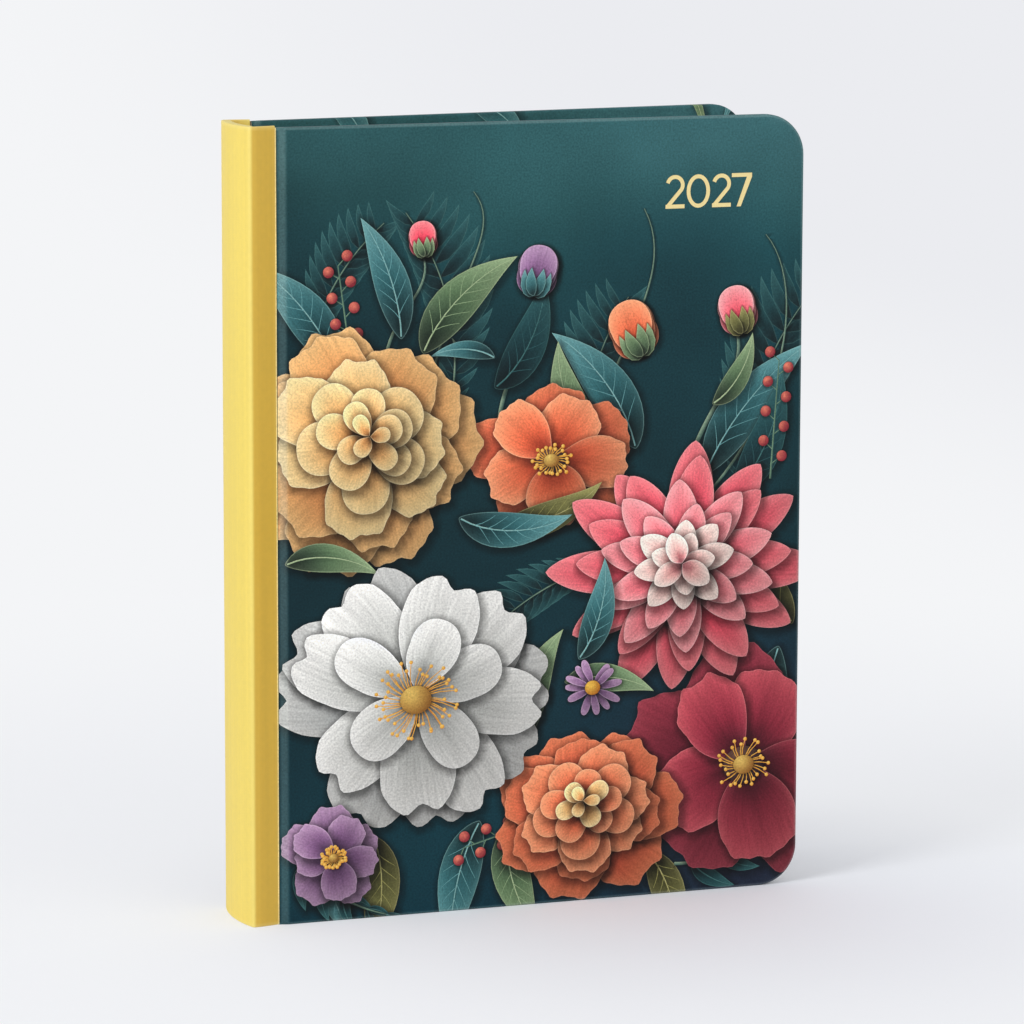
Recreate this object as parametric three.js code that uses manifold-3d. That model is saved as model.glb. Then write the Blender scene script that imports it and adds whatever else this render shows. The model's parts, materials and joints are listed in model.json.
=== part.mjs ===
// A dated diary: a hard cover in printed paper, a cloth spine and a sewn block of thin sections.
// It stands on its tail edges with the back cover a little ajar.
// Sizes are in millimetres. X runs from the spine to the fore-edge, Y from the front cover to the
// back cover, and Z from the tail up to the head.

import * as THREE from 'three';
import { mergeVertices } from 'three/addons/utils/BufferGeometryUtils.js';
import Module from 'manifold-3d';

const wasm = await Module();
wasm.setup();

// Covers
const COVER_HEIGHT = 210;
const COVER_REACH = 147.8;
const COVER_CORNER_RADIUS = 11;
const BOARD_THICKNESS = 1.6;
const BOARD_SETBACK = 1.2;
const COVER_PAPER = 0.3;
const TURN_IN = 15;
const PASTEDOWN_THICKNESS = 0.2;
const PASTEDOWN_SETBACK = 0.6;
const SEAM_BEVEL_WIDTH = 2.7;
const SEAM_DEPTH = 1;

// Pages
const SQUARE = 3;
const SECTION_COUNT = 11;
const SECTION_THICKNESS = 1.22;
const FLYLEAF_THICKNESS = 0.2;
const FLYLEAF_SETBACK = 0.1;
const PAGE_CORNER_RADIUS = 8;

// Spine and joints
const JOINT_WIDTH = 7.4;
const SPINE_ROUND = 1.6;
const SPINE_EDGE_RADIUS = 0.35;
const SPINE_LIFT = 0.45;
const SPINE_CLOTH = 0.5;
const SPINE_TURN_IN = 12;
const SPINE_INLAY = 1.2;
const JOINT_LINING = 0.4;
const SPINE_LINING = 0.3;
const SPINE_LINING_INSET = 16;
const MULL_THICKNESS = 0.25;
const MULL_INSET = 20;
const THREAD_DIAMETER = 0.4;
const THREAD_COUNT = 5;
const THREAD_INSET = 34;
const HEADBAND_BEAD_RADIUS = 0.9;
const HEADBAND_TAPE_THICKNESS = 0.3;
const HEADBAND_TAPE_LENGTH = 12;

// Year numerals in foil, placed from the head and from the fore-edge
const NUMERAL_HEIGHT = 8.9;
const NUMERAL_STROKE = 1.05;
const NUMERAL_FOIL = 0.1;
const NUMERAL_HEAD_MARGIN = 15.35;
const NUMERALS = [
  { digit: 'two', fromEdge: 39.8, width: 5.4 },
  { digit: 'zero', fromEdge: 33.8, width: 6.7 },
  { digit: 'two', fromEdge: 26.5, width: 5.4 },
  { digit: 'seven', fromEdge: 20.85, width: 5.8 },
];

// Clearances
const LAYER_GAP = 0.2;
const LEAF_GAP = 0.3;
const HINGE_GAP = 0.3;

// Turning, in degrees: half of a cover's swing is in its joint and half in its groove
const BACK_COVER_AJAR = 6.15;
const COVER_SWING = 180;
const FLYLEAF_SHARE = 0.5;
const OUTER_SECTION_SHARE = 0.8;
const PIVOT_INSET = 0.4;

// Facets
const CORNER_STEPS = 10;
const SPINE_STEPS = 16;
const EDGE_STEPS = 3;
const NUMERAL_STEPS = 14;
const ROD_SIDES = 8;
const BEAD_SIDES = 12;

// Depths from the outer face of a closed cover
const BOARD_OUTER = COVER_PAPER + LAYER_GAP;
const BOARD_INNER = BOARD_OUTER + BOARD_THICKNESS;
const TURN_IN_OUTER = BOARD_INNER + LAYER_GAP;
const TURN_IN_INNER = TURN_IN_OUTER + COVER_PAPER;
const PASTEDOWN_OUTER = TURN_IN_INNER + LAYER_GAP;
const COVER_THICKNESS = PASTEDOWN_OUTER + PASTEDOWN_THICKNESS;
const FLYLEAF_OUTER = COVER_THICKNESS + LEAF_GAP;
const BLOCK_FRONT = FLYLEAF_OUTER + FLYLEAF_THICKNESS + LEAF_GAP;
const SECTION_PITCH = SECTION_THICKNESS + LEAF_GAP;
const BLOCK_THICKNESS = SECTION_COUNT * SECTION_PITCH - LEAF_GAP;
const BOOK_THICKNESS = 2 * BLOCK_FRONT + BLOCK_THICKNESS;
const SPINE_TOP = COVER_HEIGHT + SPINE_LIFT;
const PAGE_TOP = COVER_HEIGHT - SQUARE;
const PAGE_RIGHT = COVER_REACH - SQUARE;
const NUMERAL_TOP = COVER_HEIGHT - NUMERAL_HEAD_MARGIN;
const NUMERAL_BASELINE = NUMERAL_TOP - NUMERAL_HEIGHT;

// Depths from the outer face of the spine
const INLAY_OUTER = SPINE_CLOTH + LAYER_GAP;
const INLAY_INNER = INLAY_OUTER + SPINE_INLAY;
const SPINE_TURN_IN_OUTER = INLAY_INNER + LAYER_GAP;
const SPINE_TURN_IN_INNER = SPINE_TURN_IN_OUTER + SPINE_CLOTH;
const JOINT_DEPTH = SEAM_DEPTH + SPINE_CLOTH + LAYER_GAP + JOINT_LINING;

// Layers on the back of the block, from the turned-in cloth to the folds of the sections
const LINING_X = spineFace(BLOCK_FRONT) + SPINE_TURN_IN_INNER + LAYER_GAP;
const MULL_X = LINING_X + SPINE_LINING + LAYER_GAP;
const THREAD_X = MULL_X + MULL_THICKNESS + LAYER_GAP;
const FOLD_X = THREAD_X + THREAD_DIAMETER + LAYER_GAP;

// Hinge lines of the front half; the back half mirrors them
const JOINT_HINGE = new THREE.Vector2(-JOINT_WIDTH + SPINE_TURN_IN_OUTER, -LAYER_GAP / 2);
const COVER_HINGE = new THREE.Vector2(-HINGE_GAP / 2, SEAM_DEPTH);
const FLYLEAF_HINGE = new THREE.Vector2(-HINGE_GAP / 2, FLYLEAF_OUTER + FLYLEAF_THICKNESS / 2);
const SECTION_HINGE_X = FOLD_X + PIVOT_INSET;
const JOINT_LEFT = JOINT_HINGE.x + HINGE_GAP / 2;
const JOINT_RIGHT = -HINGE_GAP;

const MIDDLE = (SECTION_COUNT - 1) / 2;
const REST_TURN = THREE.MathUtils.degToRad(BACK_COVER_AJAR / 2);
const FULL_TURN = THREE.MathUtils.degToRad(COVER_SWING / 2);

const MATERIALS = {
  cloth: finish(0xf2dc6e, 0.75),
  printedPaper: finish(0x2c5a5f, 0.55),
  board: finish(0x8c8378, 0.9),
  endpaper: finish(0xf1eee4, 0.85),
  page: finish(0xf6f2e6, 0.9),
  lining: finish(0xb99c74, 0.9),
  mull: finish(0xe6dfcc, 0.95),
  thread: finish(0xf4efe2, 0.8),
  headband: finish(0xe8c94a, 0.7),
  foil: finish(0xe9cf82, 0.35, 0.85),
};

// A material from its colour, roughness and metalness.
function finish(color, roughness, metalness = 0) {
  return new THREE.MeshStandardMaterial({ color, roughness, metalness });
}

// The X of the spine's outer face at a depth y: an arc bowed outwards between its two edges.
function spineFace(y) {
  const half = BOOK_THICKNESS / 2 - SPINE_EDGE_RADIUS;
  const radius = (half ** 2 + SPINE_ROUND ** 2) / (2 * SPINE_ROUND);
  const rise = Math.sqrt(radius ** 2 - (y - BOOK_THICKNESS / 2) ** 2) - (radius - SPINE_ROUND);
  return -JOINT_WIDTH - rise;
}

// Points on an arc from one angle to another, both in degrees.
function arc(centreX, centreY, radius, from, to, steps) {
  return Array.from({ length: steps + 1 }, (_, i) => {
    const angle = THREE.MathUtils.degToRad(from + ((to - from) * i) / steps);
    return point(centreX + radius * Math.cos(angle), centreY + radius * Math.sin(angle));
  });
}

function point(x, y) {
  return new THREE.Vector2(x, y);
}

// A closed prism standing on a plan outline, from z = low to z = high.
function standing(outline, low, high) {
  const shape = new THREE.Shape(outline);
  const geometry = new THREE.ExtrudeGeometry(shape, { depth: high - low, bevelEnabled: false });
  geometry.translate(0, 0, low);
  return geometry;
}

// A closed prism whose outline is seen from the front, from y = near to y = far.
function facing(shape, near, far) {
  const geometry = new THREE.ExtrudeGeometry(shape, { depth: far - near, bevelEnabled: false });
  geometry.rotateX(Math.PI / 2);
  geometry.translate(0, far, 0);
  return geometry;
}

function rectangle(left, right, near, far) {
  return [point(left, near), point(right, near), point(right, far), point(left, far)];
}

// A sheet seen from the front, with its two fore-edge corners rounded.
function sheet(left, right, low, high, radius) {
  return new THREE.Shape([
    point(left, low),
    ...arc(right - radius, low + radius, radius, -90, 0, CORNER_STEPS),
    ...arc(right - radius, high - radius, radius, 0, 90, CORNER_STEPS),
    point(left, high),
  ]);
}

// A rounded sheet inset from the cover's edges by the same margin on its three free sides.
function insetSheet(left, margin) {
  return sheet(
    left,
    COVER_REACH - margin,
    margin,
    COVER_HEIGHT - margin,
    Math.max(COVER_CORNER_RADIUS - margin, SEAM_DEPTH),
  );
}

// Plan points of the front half, or the same points mirrored to the back half.
function onSide(side, outline) {
  return outline.map((p) => point(p.x, side === 'front' ? p.y : BOOK_THICKNESS - p.y));
}

function solid(geometry) {
  const plain = geometry.clone();
  plain.deleteAttribute('normal');
  plain.deleteAttribute('uv');
  const merged = mergeVertices(plain);
  const vertProperties = Float32Array.from(merged.attributes.position.array);
  const triVerts = Uint32Array.from(merged.index.array);
  return new wasm.Manifold(new wasm.Mesh({ numProp: 3, vertProperties, triVerts }));
}

function surface(body) {
  const mesh = body.getMesh();
  const geometry = new THREE.BufferGeometry();
  geometry.setAttribute('position', new THREE.BufferAttribute(mesh.vertProperties, 3));
  geometry.setIndex(new THREE.BufferAttribute(mesh.triVerts, 1));
  geometry.computeVertexNormals();
  return geometry;
}

function named(name, geometry, material) {
  const mesh = new THREE.Mesh(geometry, material);
  mesh.name = name;
  return mesh;
}

// A group turned about an upright line, whose children keep the places they have in the closed book.
function turned(name, side, hinge, angle, children) {
  const place = onSide(side, [hinge])[0];
  const pivot = new THREE.Group();
  pivot.name = name;
  pivot.position.set(place.x, place.y, 0);
  pivot.rotation.z = side === 'front' ? -angle : angle;
  const inner = new THREE.Group();
  inner.position.set(-place.x, -place.y, 0);
  inner.add(...children);
  pivot.add(inner);
  return pivot;
}

// The skin's depth over the board: it dips to the seam beside the cloth.
function skinDepth(x) {
  return SEAM_DEPTH * Math.max(0, 1 - x / SEAM_BEVEL_WIDTH);
}

// Printed paper: one skin over the outer face, turned in over the head, the tail and the fore-edge.
function coverPaper(side) {
  const past = COVER_REACH + 1;
  const slab = onSide(side, [
    point(0, SEAM_DEPTH),
    point(SEAM_BEVEL_WIDTH, 0),
    point(past, 0),
    point(past, TURN_IN_INNER),
    point(0, TURN_IN_INNER),
  ]);
  const pocket = onSide(side, [
    point(-1, SEAM_DEPTH + COVER_PAPER),
    point(0, SEAM_DEPTH + COVER_PAPER),
    point(SEAM_BEVEL_WIDTH, COVER_PAPER),
    point(past, COVER_PAPER),
    point(past, TURN_IN_OUTER),
    point(-1, TURN_IN_OUTER),
  ]);
  const window = onSide(side, rectangle(-1, past, TURN_IN_OUTER - LAYER_GAP, TURN_IN_INNER + 1));
  const allRound = (margin) => solid(facing(insetSheet(-2, margin), -1, BOOK_THICKNESS + 1));
  const block = solid(standing(slab, -1, COVER_HEIGHT + 1)).intersect(allRound(0));
  const inside = solid(standing(pocket, -1, COVER_HEIGHT + 1)).intersect(allRound(COVER_PAPER));
  const open = solid(standing(window, -1, COVER_HEIGHT + 1)).intersect(allRound(TURN_IN));
  return surface(block.subtract(inside).subtract(open));
}

// The stiff board, its spine edge pressed down under the seam's bevel.
function board(side) {
  const depth = (x) => skinDepth(x) + BOARD_OUTER;
  const past = COVER_REACH + 1;
  const plan = onSide(side, [
    point(BOARD_SETBACK, depth(BOARD_SETBACK)),
    point(SEAM_BEVEL_WIDTH, BOARD_OUTER),
    point(past, BOARD_OUTER),
    point(past, BOARD_INNER),
    point(BOARD_SETBACK, BOARD_INNER),
  ]);
  const outline = insetSheet(0, BOARD_OUTER);
  return surface(
    solid(standing(plan, 0, COVER_HEIGHT)).intersect(solid(facing(outline, 0, BOOK_THICKNESS))),
  );
}

// A flat leaf lying between two depths of the closed book.
function leaf(side, left, outer, thickness) {
  const [near, far] = onSide(side, [point(0, outer), point(0, outer + thickness)])
    .map((p) => p.y)
    .sort((a, b) => a - b);
  const radius = PAGE_CORNER_RADIUS;
  return facing(sheet(left, PAGE_RIGHT, SQUARE, PAGE_TOP, radius), near, far);
}

// A strip of the joint, sloping from the spine's edge down to the seam.
function jointStrip(side, left, outer, thickness) {
  const slope = SEAM_DEPTH / (JOINT_RIGHT - JOINT_LEFT);
  const start = outer + slope * (left - JOINT_LEFT);
  return onSide(side, [
    point(left, start),
    point(JOINT_RIGHT, outer + SEAM_DEPTH),
    point(JOINT_RIGHT, outer + SEAM_DEPTH + thickness),
    point(left, start + thickness),
  ]);
}

// A band that follows the spine's curve between two depths, stopping short of both covers.
function spineBand(outer, inner, margin) {
  const depths = Array.from(
    { length: SPINE_STEPS + 1 },
    (_, i) => margin + ((BOOK_THICKNESS - 2 * margin) * i) / SPINE_STEPS,
  );
  return [
    ...depths.map((y) => point(spineFace(y) + outer, y)),
    ...depths.reverse().map((y) => point(spineFace(y) + inner, y)),
  ];
}

// The cloth over the spine, round both its edges as far as the joints.
function spineSkin() {
  const end = JOINT_HINGE.x - HINGE_GAP / 2;
  const centre = -JOINT_WIDTH + SPINE_EDGE_RADIUS;
  const far = BOOK_THICKNESS - SPINE_EDGE_RADIUS;
  const outer = spineBand(0, 0, SPINE_EDGE_RADIUS).slice(0, SPINE_STEPS + 1);
  const inner = spineBand(0, SPINE_CLOTH, SPINE_CLOTH).slice(SPINE_STEPS + 1);
  return [
    point(end, 0),
    ...arc(centre, SPINE_EDGE_RADIUS, SPINE_EDGE_RADIUS, 270, 180, EDGE_STEPS).slice(0, -1),
    ...outer,
    ...arc(centre, far, SPINE_EDGE_RADIUS, 180, 90, EDGE_STEPS).slice(1),
    point(end, BOOK_THICKNESS),
    point(end, BOOK_THICKNESS - SPINE_CLOTH),
    ...inner,
    point(end, SPINE_CLOTH),
  ];
}

// The whole spine cloth, turned in over the head and the tail of the inlay.
function spineCloth() {
  const margin = JOINT_DEPTH + HINGE_GAP;
  const cap = spineBand(SPINE_CLOTH / 2, SPINE_TURN_IN_INNER, margin);
  const fold = spineBand(SPINE_TURN_IN_OUTER, SPINE_TURN_IN_INNER, margin);
  const pieces = [
    standing(cap, 0, SPINE_CLOTH),
    standing(fold, SPINE_CLOTH / 2, SPINE_TURN_IN),
    standing(cap, SPINE_TOP - SPINE_CLOTH, SPINE_TOP),
    standing(fold, SPINE_TOP - SPINE_TURN_IN, SPINE_TOP - SPINE_CLOTH / 2),
  ];
  const skin = solid(standing(spineSkin(), 0, SPINE_TOP));
  return surface(pieces.reduce((whole, piece) => whole.add(solid(piece)), skin));
}

// A plain layer lying on the back of the block.
function backLayer(left, thickness, inset) {
  const plan = rectangle(left, left + thickness, BLOCK_FRONT, BLOCK_FRONT + BLOCK_THICKNESS);
  return standing(plan, inset, COVER_HEIGHT - inset);
}

// A thread across the folds of all the sections, at one sewing station.
function sewingThread(height) {
  const radius = THREAD_DIAMETER / 2;
  const rod = new THREE.CylinderGeometry(radius, radius, BLOCK_THICKNESS, ROD_SIDES);
  rod.translate(THREAD_X + radius, BOOK_THICKNESS / 2, height);
  return rod;
}

// A headband: a bead over the end of the block and a tape down its back.
function headband(atHead) {
  const tapeLeft = THREAD_X;
  const beadHeight = SQUARE - LEAF_GAP - HEADBAND_BEAD_RADIUS;
  const flip = (z) => (atHead ? COVER_HEIGHT - z : z);
  const heights = [flip(beadHeight), flip(SQUARE + HEADBAND_TAPE_LENGTH)].sort((a, b) => a - b);
  const plan = rectangle(
    tapeLeft,
    tapeLeft + HEADBAND_TAPE_THICKNESS,
    BLOCK_FRONT,
    BLOCK_FRONT + BLOCK_THICKNESS,
  );
  const bead = new THREE.CylinderGeometry(
    HEADBAND_BEAD_RADIUS,
    HEADBAND_BEAD_RADIUS,
    BLOCK_THICKNESS,
    BEAD_SIDES,
  );
  const beadX = tapeLeft + HEADBAND_BEAD_RADIUS;
  bead.translate(beadX, BOOK_THICKNESS / 2, flip(beadHeight));
  return surface(solid(standing(plan, ...heights)).add(solid(bead)));
}

// The largest half thickness that a section may have at a distance from its hinge, so that the
// outermost sections stay clear of their neighbours when the pages fan out.
function noseHalf(distance) {
  const outermost = OUTER_SECTION_SHARE * FULL_TURN;
  const step = outermost / MIDDLE;
  const room = SECTION_PITCH * Math.cos(outermost) + distance * Math.sin(step) - LEAF_GAP / 3;
  return Math.min(room, SECTION_THICKNESS) / 2;
}

// One sewn section: folded sheets, thin at the fold and full a little further out.
function section(centre) {
  const step = (OUTER_SECTION_SHARE * FULL_TURN) / MIDDLE;
  const slimness = SECTION_THICKNESS - 2 * noseHalf(0);
  const full = SECTION_HINGE_X + slimness / Math.sin(step);
  const tip = noseHalf(-PIVOT_INSET);
  const half = SECTION_THICKNESS / 2;
  const past = PAGE_RIGHT + 1;
  const plan = [
    point(FOLD_X, centre - tip),
    point(full, centre - half),
    point(past, centre - half),
    point(past, centre + half),
    point(full, centre + half),
    point(FOLD_X, centre + tip),
  ];
  const outline = sheet(FOLD_X - 1, PAGE_RIGHT, SQUARE, PAGE_TOP, PAGE_CORNER_RADIUS);
  const page = solid(facing(outline, 0, BOOK_THICKNESS));
  return surface(solid(standing(plan, 0, COVER_HEIGHT)).intersect(page));
}

// A line of even width along points, with square ends.
function stroke(points, width) {
  const edge = (side) =>
    points.map((p, i) => {
      const before = points[Math.max(i - 1, 0)];
      const after = points[Math.min(i + 1, points.length - 1)];
      const along = after.clone().sub(before).normalize();
      return point(p.x - (side * along.y * width) / 2, p.y + (side * along.x * width) / 2);
    });
  return new THREE.Shape([...edge(1), ...edge(-1).reverse()]);
}

// The numeral two: a hook and a slope in one stroke, on a straight foot.
function two(left, width) {
  const half = NUMERAL_STROKE / 2;
  const radius = width / 2 - half;
  const hookY = NUMERAL_TOP - radius - half;
  const hook = arc(left + width / 2, hookY, radius, 165, -35, NUMERAL_STEPS);
  const slope = point(left + half, NUMERAL_BASELINE + half);
  const footTop = NUMERAL_BASELINE + NUMERAL_STROKE;
  const foot = new THREE.Shape(rectangle(left, left + width, NUMERAL_BASELINE, footTop));
  return [stroke([...hook, slope], NUMERAL_STROKE), foot];
}

// The numeral zero: an upright oval ring.
function zero(left, width) {
  const centre = point(left + width / 2, NUMERAL_BASELINE + NUMERAL_HEIGHT / 2);
  const oval = (inset) =>
    arc(0, 0, 1, 0, 360, 2 * NUMERAL_STEPS)
      .slice(1)
      .map((p) => point(
        centre.x + p.x * (width / 2 - inset),
        centre.y + p.y * (NUMERAL_HEIGHT / 2 - inset),
      ));
  const ring = new THREE.Shape(oval(0));
  ring.holes.push(new THREE.Path(oval(NUMERAL_STROKE)));
  return [ring];
}

// The numeral seven: a flat bar and a slope in one outline.
function seven(left, width) {
  const heel = left + width / 4;
  const under = NUMERAL_TOP - NUMERAL_STROKE;
  return [
    new THREE.Shape([
      point(left, NUMERAL_TOP),
      point(left, under),
      point(left + width - 1.4 * NUMERAL_STROKE, under),
      point(heel, NUMERAL_BASELINE),
      point(heel + 1.1 * NUMERAL_STROKE, NUMERAL_BASELINE),
      point(left + width, under),
      point(left + width, NUMERAL_TOP),
    ]),
  ];
}

function numeral({ digit, fromEdge, width }) {
  const shapes = { two, zero, seven }[digit](COVER_REACH - fromEdge, width);
  const bodies = shapes.map((shape) => solid(facing(shape, -NUMERAL_FOIL, 0)));
  return surface(bodies.reduce((whole, body) => whole.add(body)));
}

function makeCover(side, extras) {
  const pastedown = leaf(side, PASTEDOWN_SETBACK, PASTEDOWN_OUTER, PASTEDOWN_THICKNESS);
  return [
    named(`${side}_board`, board(side), MATERIALS.board),
    named(`${side}_cover_paper`, coverPaper(side), MATERIALS.printedPaper),
    named(`${side}_pastedown`, pastedown, MATERIALS.endpaper),
    ...extras,
  ];
}

// A joint with the cover and the flyleaf that it carries.
function makeJoint(side, angle, extras) {
  const cloth = standing(jointStrip(side, JOINT_LEFT, 0, SPINE_CLOTH), 0, SPINE_TOP);
  const liningPlan = jointStrip(
    side,
    JOINT_LEFT + JOINT_LINING,
    SPINE_CLOTH + LAYER_GAP,
    JOINT_LINING,
  );
  const lining = standing(liningPlan, SQUARE, PAGE_TOP);
  const flyleaf = leaf(side, FLYLEAF_SETBACK, FLYLEAF_OUTER, FLYLEAF_THICKNESS);
  const flyleafMesh = named(`${side}_flyleaf`, flyleaf, MATERIALS.endpaper);
  return turned(`${side}_joint_hinge`, side, JOINT_HINGE, angle, [
    named(`${side}_joint_cloth`, cloth, MATERIALS.cloth),
    named(`${side}_joint_lining`, lining, MATERIALS.mull),
    turned(`${side}_cover_hinge`, side, COVER_HINGE, angle, makeCover(side, extras)),
    turned(`${side}_flyleaf_hinge`, side, FLYLEAF_HINGE, angle * FLYLEAF_SHARE, [flyleafMesh]),
  ]);
}

function makeSpine() {
  const inlay = spineBand(INLAY_OUTER, INLAY_INNER, INLAY_OUTER);
  const threadStep = (COVER_HEIGHT - 2 * THREAD_INSET) / (THREAD_COUNT - 1);
  const threads = Array.from({ length: THREAD_COUNT }, (_, i) =>
    named(`sewing_thread_${i + 1}`, sewingThread(THREAD_INSET + i * threadStep), MATERIALS.thread),
  );
  const inlaySolid = standing(inlay, INLAY_OUTER, SPINE_TOP - INLAY_OUTER);
  return [
    named('spine_cloth', spineCloth(), MATERIALS.cloth),
    named('spine_inlay', inlaySolid, MATERIALS.board),
    named('spine_lining', backLayer(LINING_X, SPINE_LINING, SPINE_LINING_INSET), MATERIALS.lining),
    named('mull', backLayer(MULL_X, MULL_THICKNESS, MULL_INSET), MATERIALS.mull),
    named('headband_top', headband(true), MATERIALS.headband),
    named('headband_bottom', headband(false), MATERIALS.headband),
    ...threads,
  ];
}

// The sections from front to back; those behind the middle lean with the back cover.
function makeBlock() {
  return Array.from({ length: SECTION_COUNT }, (_, i) => {
    const centre = BLOCK_FRONT + SECTION_THICKNESS / 2 + i * SECTION_PITCH;
    const name = `section_${String(i + 1).padStart(2, '0')}`;
    const lean = Math.max(0, (OUTER_SECTION_SHARE * (i - MIDDLE)) / MIDDLE) * REST_TURN;
    const pages = named(name, section(centre), MATERIALS.page);
    const hinge = point(SECTION_HINGE_X, BOOK_THICKNESS - centre);
    return turned(`${name}_hinge`, 'back', hinge, lean, [pages]);
  });
}

// The year, plain numerals read from the front.
function makeYear() {
  return NUMERALS.map((entry, i) => named(`year_numeral_${i + 1}`, numeral(entry), MATERIALS.foil));
}

const diary = new THREE.Group();
diary.add(
  ...makeSpine(),
  ...makeBlock(),
  makeJoint('front', 0, makeYear()),
  makeJoint('back', REST_TURN, []),
);

// The origin is under the middle of the whole object.
const box = new THREE.Box3().setFromObject(diary, true);
const middle = box.getCenter(new THREE.Vector3());
diary.position.set(-middle.x, -middle.y, -box.min.z);

export default diary;
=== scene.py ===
"""The looks of a hard-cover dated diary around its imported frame.

Lengths are millimetres in the closed book's own axes: X runs from the seam of cloth and paper to the
fore-edge, Y is the depth under a cover's outer face, and Z runs from the tail up to the head. The
class Place turns them into the frame's metres and leans the back pieces as they stand at rest.
"""

import json
import logging
import math
from abc import ABC, abstractmethod
from dataclasses import dataclass
from enum import Enum
from functools import cache

import bmesh
import bpy
import numpy as np
from mathutils import Matrix, Vector
from mathutils.geometry import delaunay_2d_cdt
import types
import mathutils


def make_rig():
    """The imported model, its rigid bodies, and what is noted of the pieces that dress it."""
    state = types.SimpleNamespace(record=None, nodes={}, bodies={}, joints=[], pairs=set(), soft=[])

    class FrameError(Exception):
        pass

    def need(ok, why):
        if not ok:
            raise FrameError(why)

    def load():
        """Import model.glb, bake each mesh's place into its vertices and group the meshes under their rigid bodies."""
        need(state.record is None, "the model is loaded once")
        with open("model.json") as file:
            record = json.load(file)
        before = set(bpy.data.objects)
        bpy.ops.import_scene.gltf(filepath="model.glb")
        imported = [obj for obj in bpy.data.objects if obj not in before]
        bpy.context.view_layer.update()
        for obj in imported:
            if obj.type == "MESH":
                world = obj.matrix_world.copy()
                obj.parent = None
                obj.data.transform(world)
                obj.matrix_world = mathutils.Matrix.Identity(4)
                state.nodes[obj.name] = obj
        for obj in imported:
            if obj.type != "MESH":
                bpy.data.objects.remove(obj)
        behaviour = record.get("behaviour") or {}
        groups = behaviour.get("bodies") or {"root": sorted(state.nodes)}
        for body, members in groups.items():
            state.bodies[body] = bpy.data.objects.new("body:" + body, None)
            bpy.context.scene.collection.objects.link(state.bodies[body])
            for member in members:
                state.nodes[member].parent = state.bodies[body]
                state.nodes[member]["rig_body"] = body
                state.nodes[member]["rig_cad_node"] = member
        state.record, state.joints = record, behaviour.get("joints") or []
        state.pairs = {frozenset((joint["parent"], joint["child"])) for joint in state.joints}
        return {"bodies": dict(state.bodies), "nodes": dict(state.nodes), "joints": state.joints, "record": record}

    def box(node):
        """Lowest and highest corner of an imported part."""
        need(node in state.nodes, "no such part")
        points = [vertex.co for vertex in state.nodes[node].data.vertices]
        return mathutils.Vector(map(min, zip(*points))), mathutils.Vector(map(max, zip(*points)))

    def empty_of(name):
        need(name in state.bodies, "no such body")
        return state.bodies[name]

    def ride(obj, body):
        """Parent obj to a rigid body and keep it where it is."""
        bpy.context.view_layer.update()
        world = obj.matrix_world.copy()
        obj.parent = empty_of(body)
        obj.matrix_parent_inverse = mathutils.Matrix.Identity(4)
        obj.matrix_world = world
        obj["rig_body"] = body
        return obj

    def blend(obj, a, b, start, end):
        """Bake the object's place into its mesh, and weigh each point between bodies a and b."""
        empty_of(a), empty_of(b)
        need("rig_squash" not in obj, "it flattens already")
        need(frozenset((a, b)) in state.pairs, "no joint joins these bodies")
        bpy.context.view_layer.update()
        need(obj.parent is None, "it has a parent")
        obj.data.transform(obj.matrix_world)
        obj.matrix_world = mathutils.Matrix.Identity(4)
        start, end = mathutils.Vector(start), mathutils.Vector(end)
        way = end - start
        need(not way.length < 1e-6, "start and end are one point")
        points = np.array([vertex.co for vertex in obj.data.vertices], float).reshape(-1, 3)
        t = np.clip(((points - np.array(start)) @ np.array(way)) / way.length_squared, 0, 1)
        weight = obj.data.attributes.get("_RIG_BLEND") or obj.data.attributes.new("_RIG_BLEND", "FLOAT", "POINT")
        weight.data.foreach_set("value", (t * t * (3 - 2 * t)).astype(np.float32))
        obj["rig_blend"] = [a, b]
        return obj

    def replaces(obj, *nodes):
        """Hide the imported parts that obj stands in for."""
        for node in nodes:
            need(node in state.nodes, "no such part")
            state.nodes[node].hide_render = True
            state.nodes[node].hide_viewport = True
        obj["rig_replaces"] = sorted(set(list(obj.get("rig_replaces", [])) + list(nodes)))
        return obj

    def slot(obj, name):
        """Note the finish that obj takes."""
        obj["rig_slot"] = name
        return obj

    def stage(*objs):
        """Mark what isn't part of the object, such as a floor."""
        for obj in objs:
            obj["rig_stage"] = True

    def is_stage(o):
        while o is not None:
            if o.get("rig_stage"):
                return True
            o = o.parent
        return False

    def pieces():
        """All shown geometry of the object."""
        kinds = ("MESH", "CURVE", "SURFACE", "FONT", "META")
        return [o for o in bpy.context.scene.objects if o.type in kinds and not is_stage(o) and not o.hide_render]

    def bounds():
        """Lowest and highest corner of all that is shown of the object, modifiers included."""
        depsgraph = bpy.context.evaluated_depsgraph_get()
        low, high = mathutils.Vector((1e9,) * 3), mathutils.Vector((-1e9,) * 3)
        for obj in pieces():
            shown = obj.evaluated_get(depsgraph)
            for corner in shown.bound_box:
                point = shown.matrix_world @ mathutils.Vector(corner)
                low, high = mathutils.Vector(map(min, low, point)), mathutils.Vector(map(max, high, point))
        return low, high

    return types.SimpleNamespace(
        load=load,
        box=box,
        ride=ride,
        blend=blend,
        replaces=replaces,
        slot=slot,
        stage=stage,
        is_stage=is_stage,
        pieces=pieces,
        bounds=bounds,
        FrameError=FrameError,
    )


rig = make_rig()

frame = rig.load()
CAD_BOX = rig.bounds()

MM = 0.001
BLEND_HEIGHT = 100.0
SIZE_FILE = "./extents.json"
LOG = logging.getLogger("diary")

Array = np.ndarray
Pair = tuple[float, float]
Node = bpy.types.Node
Socket = bpy.types.NodeSocket
Triple = tuple[float, float, float]
Ink = tuple[Array, Array, Array]


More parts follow.
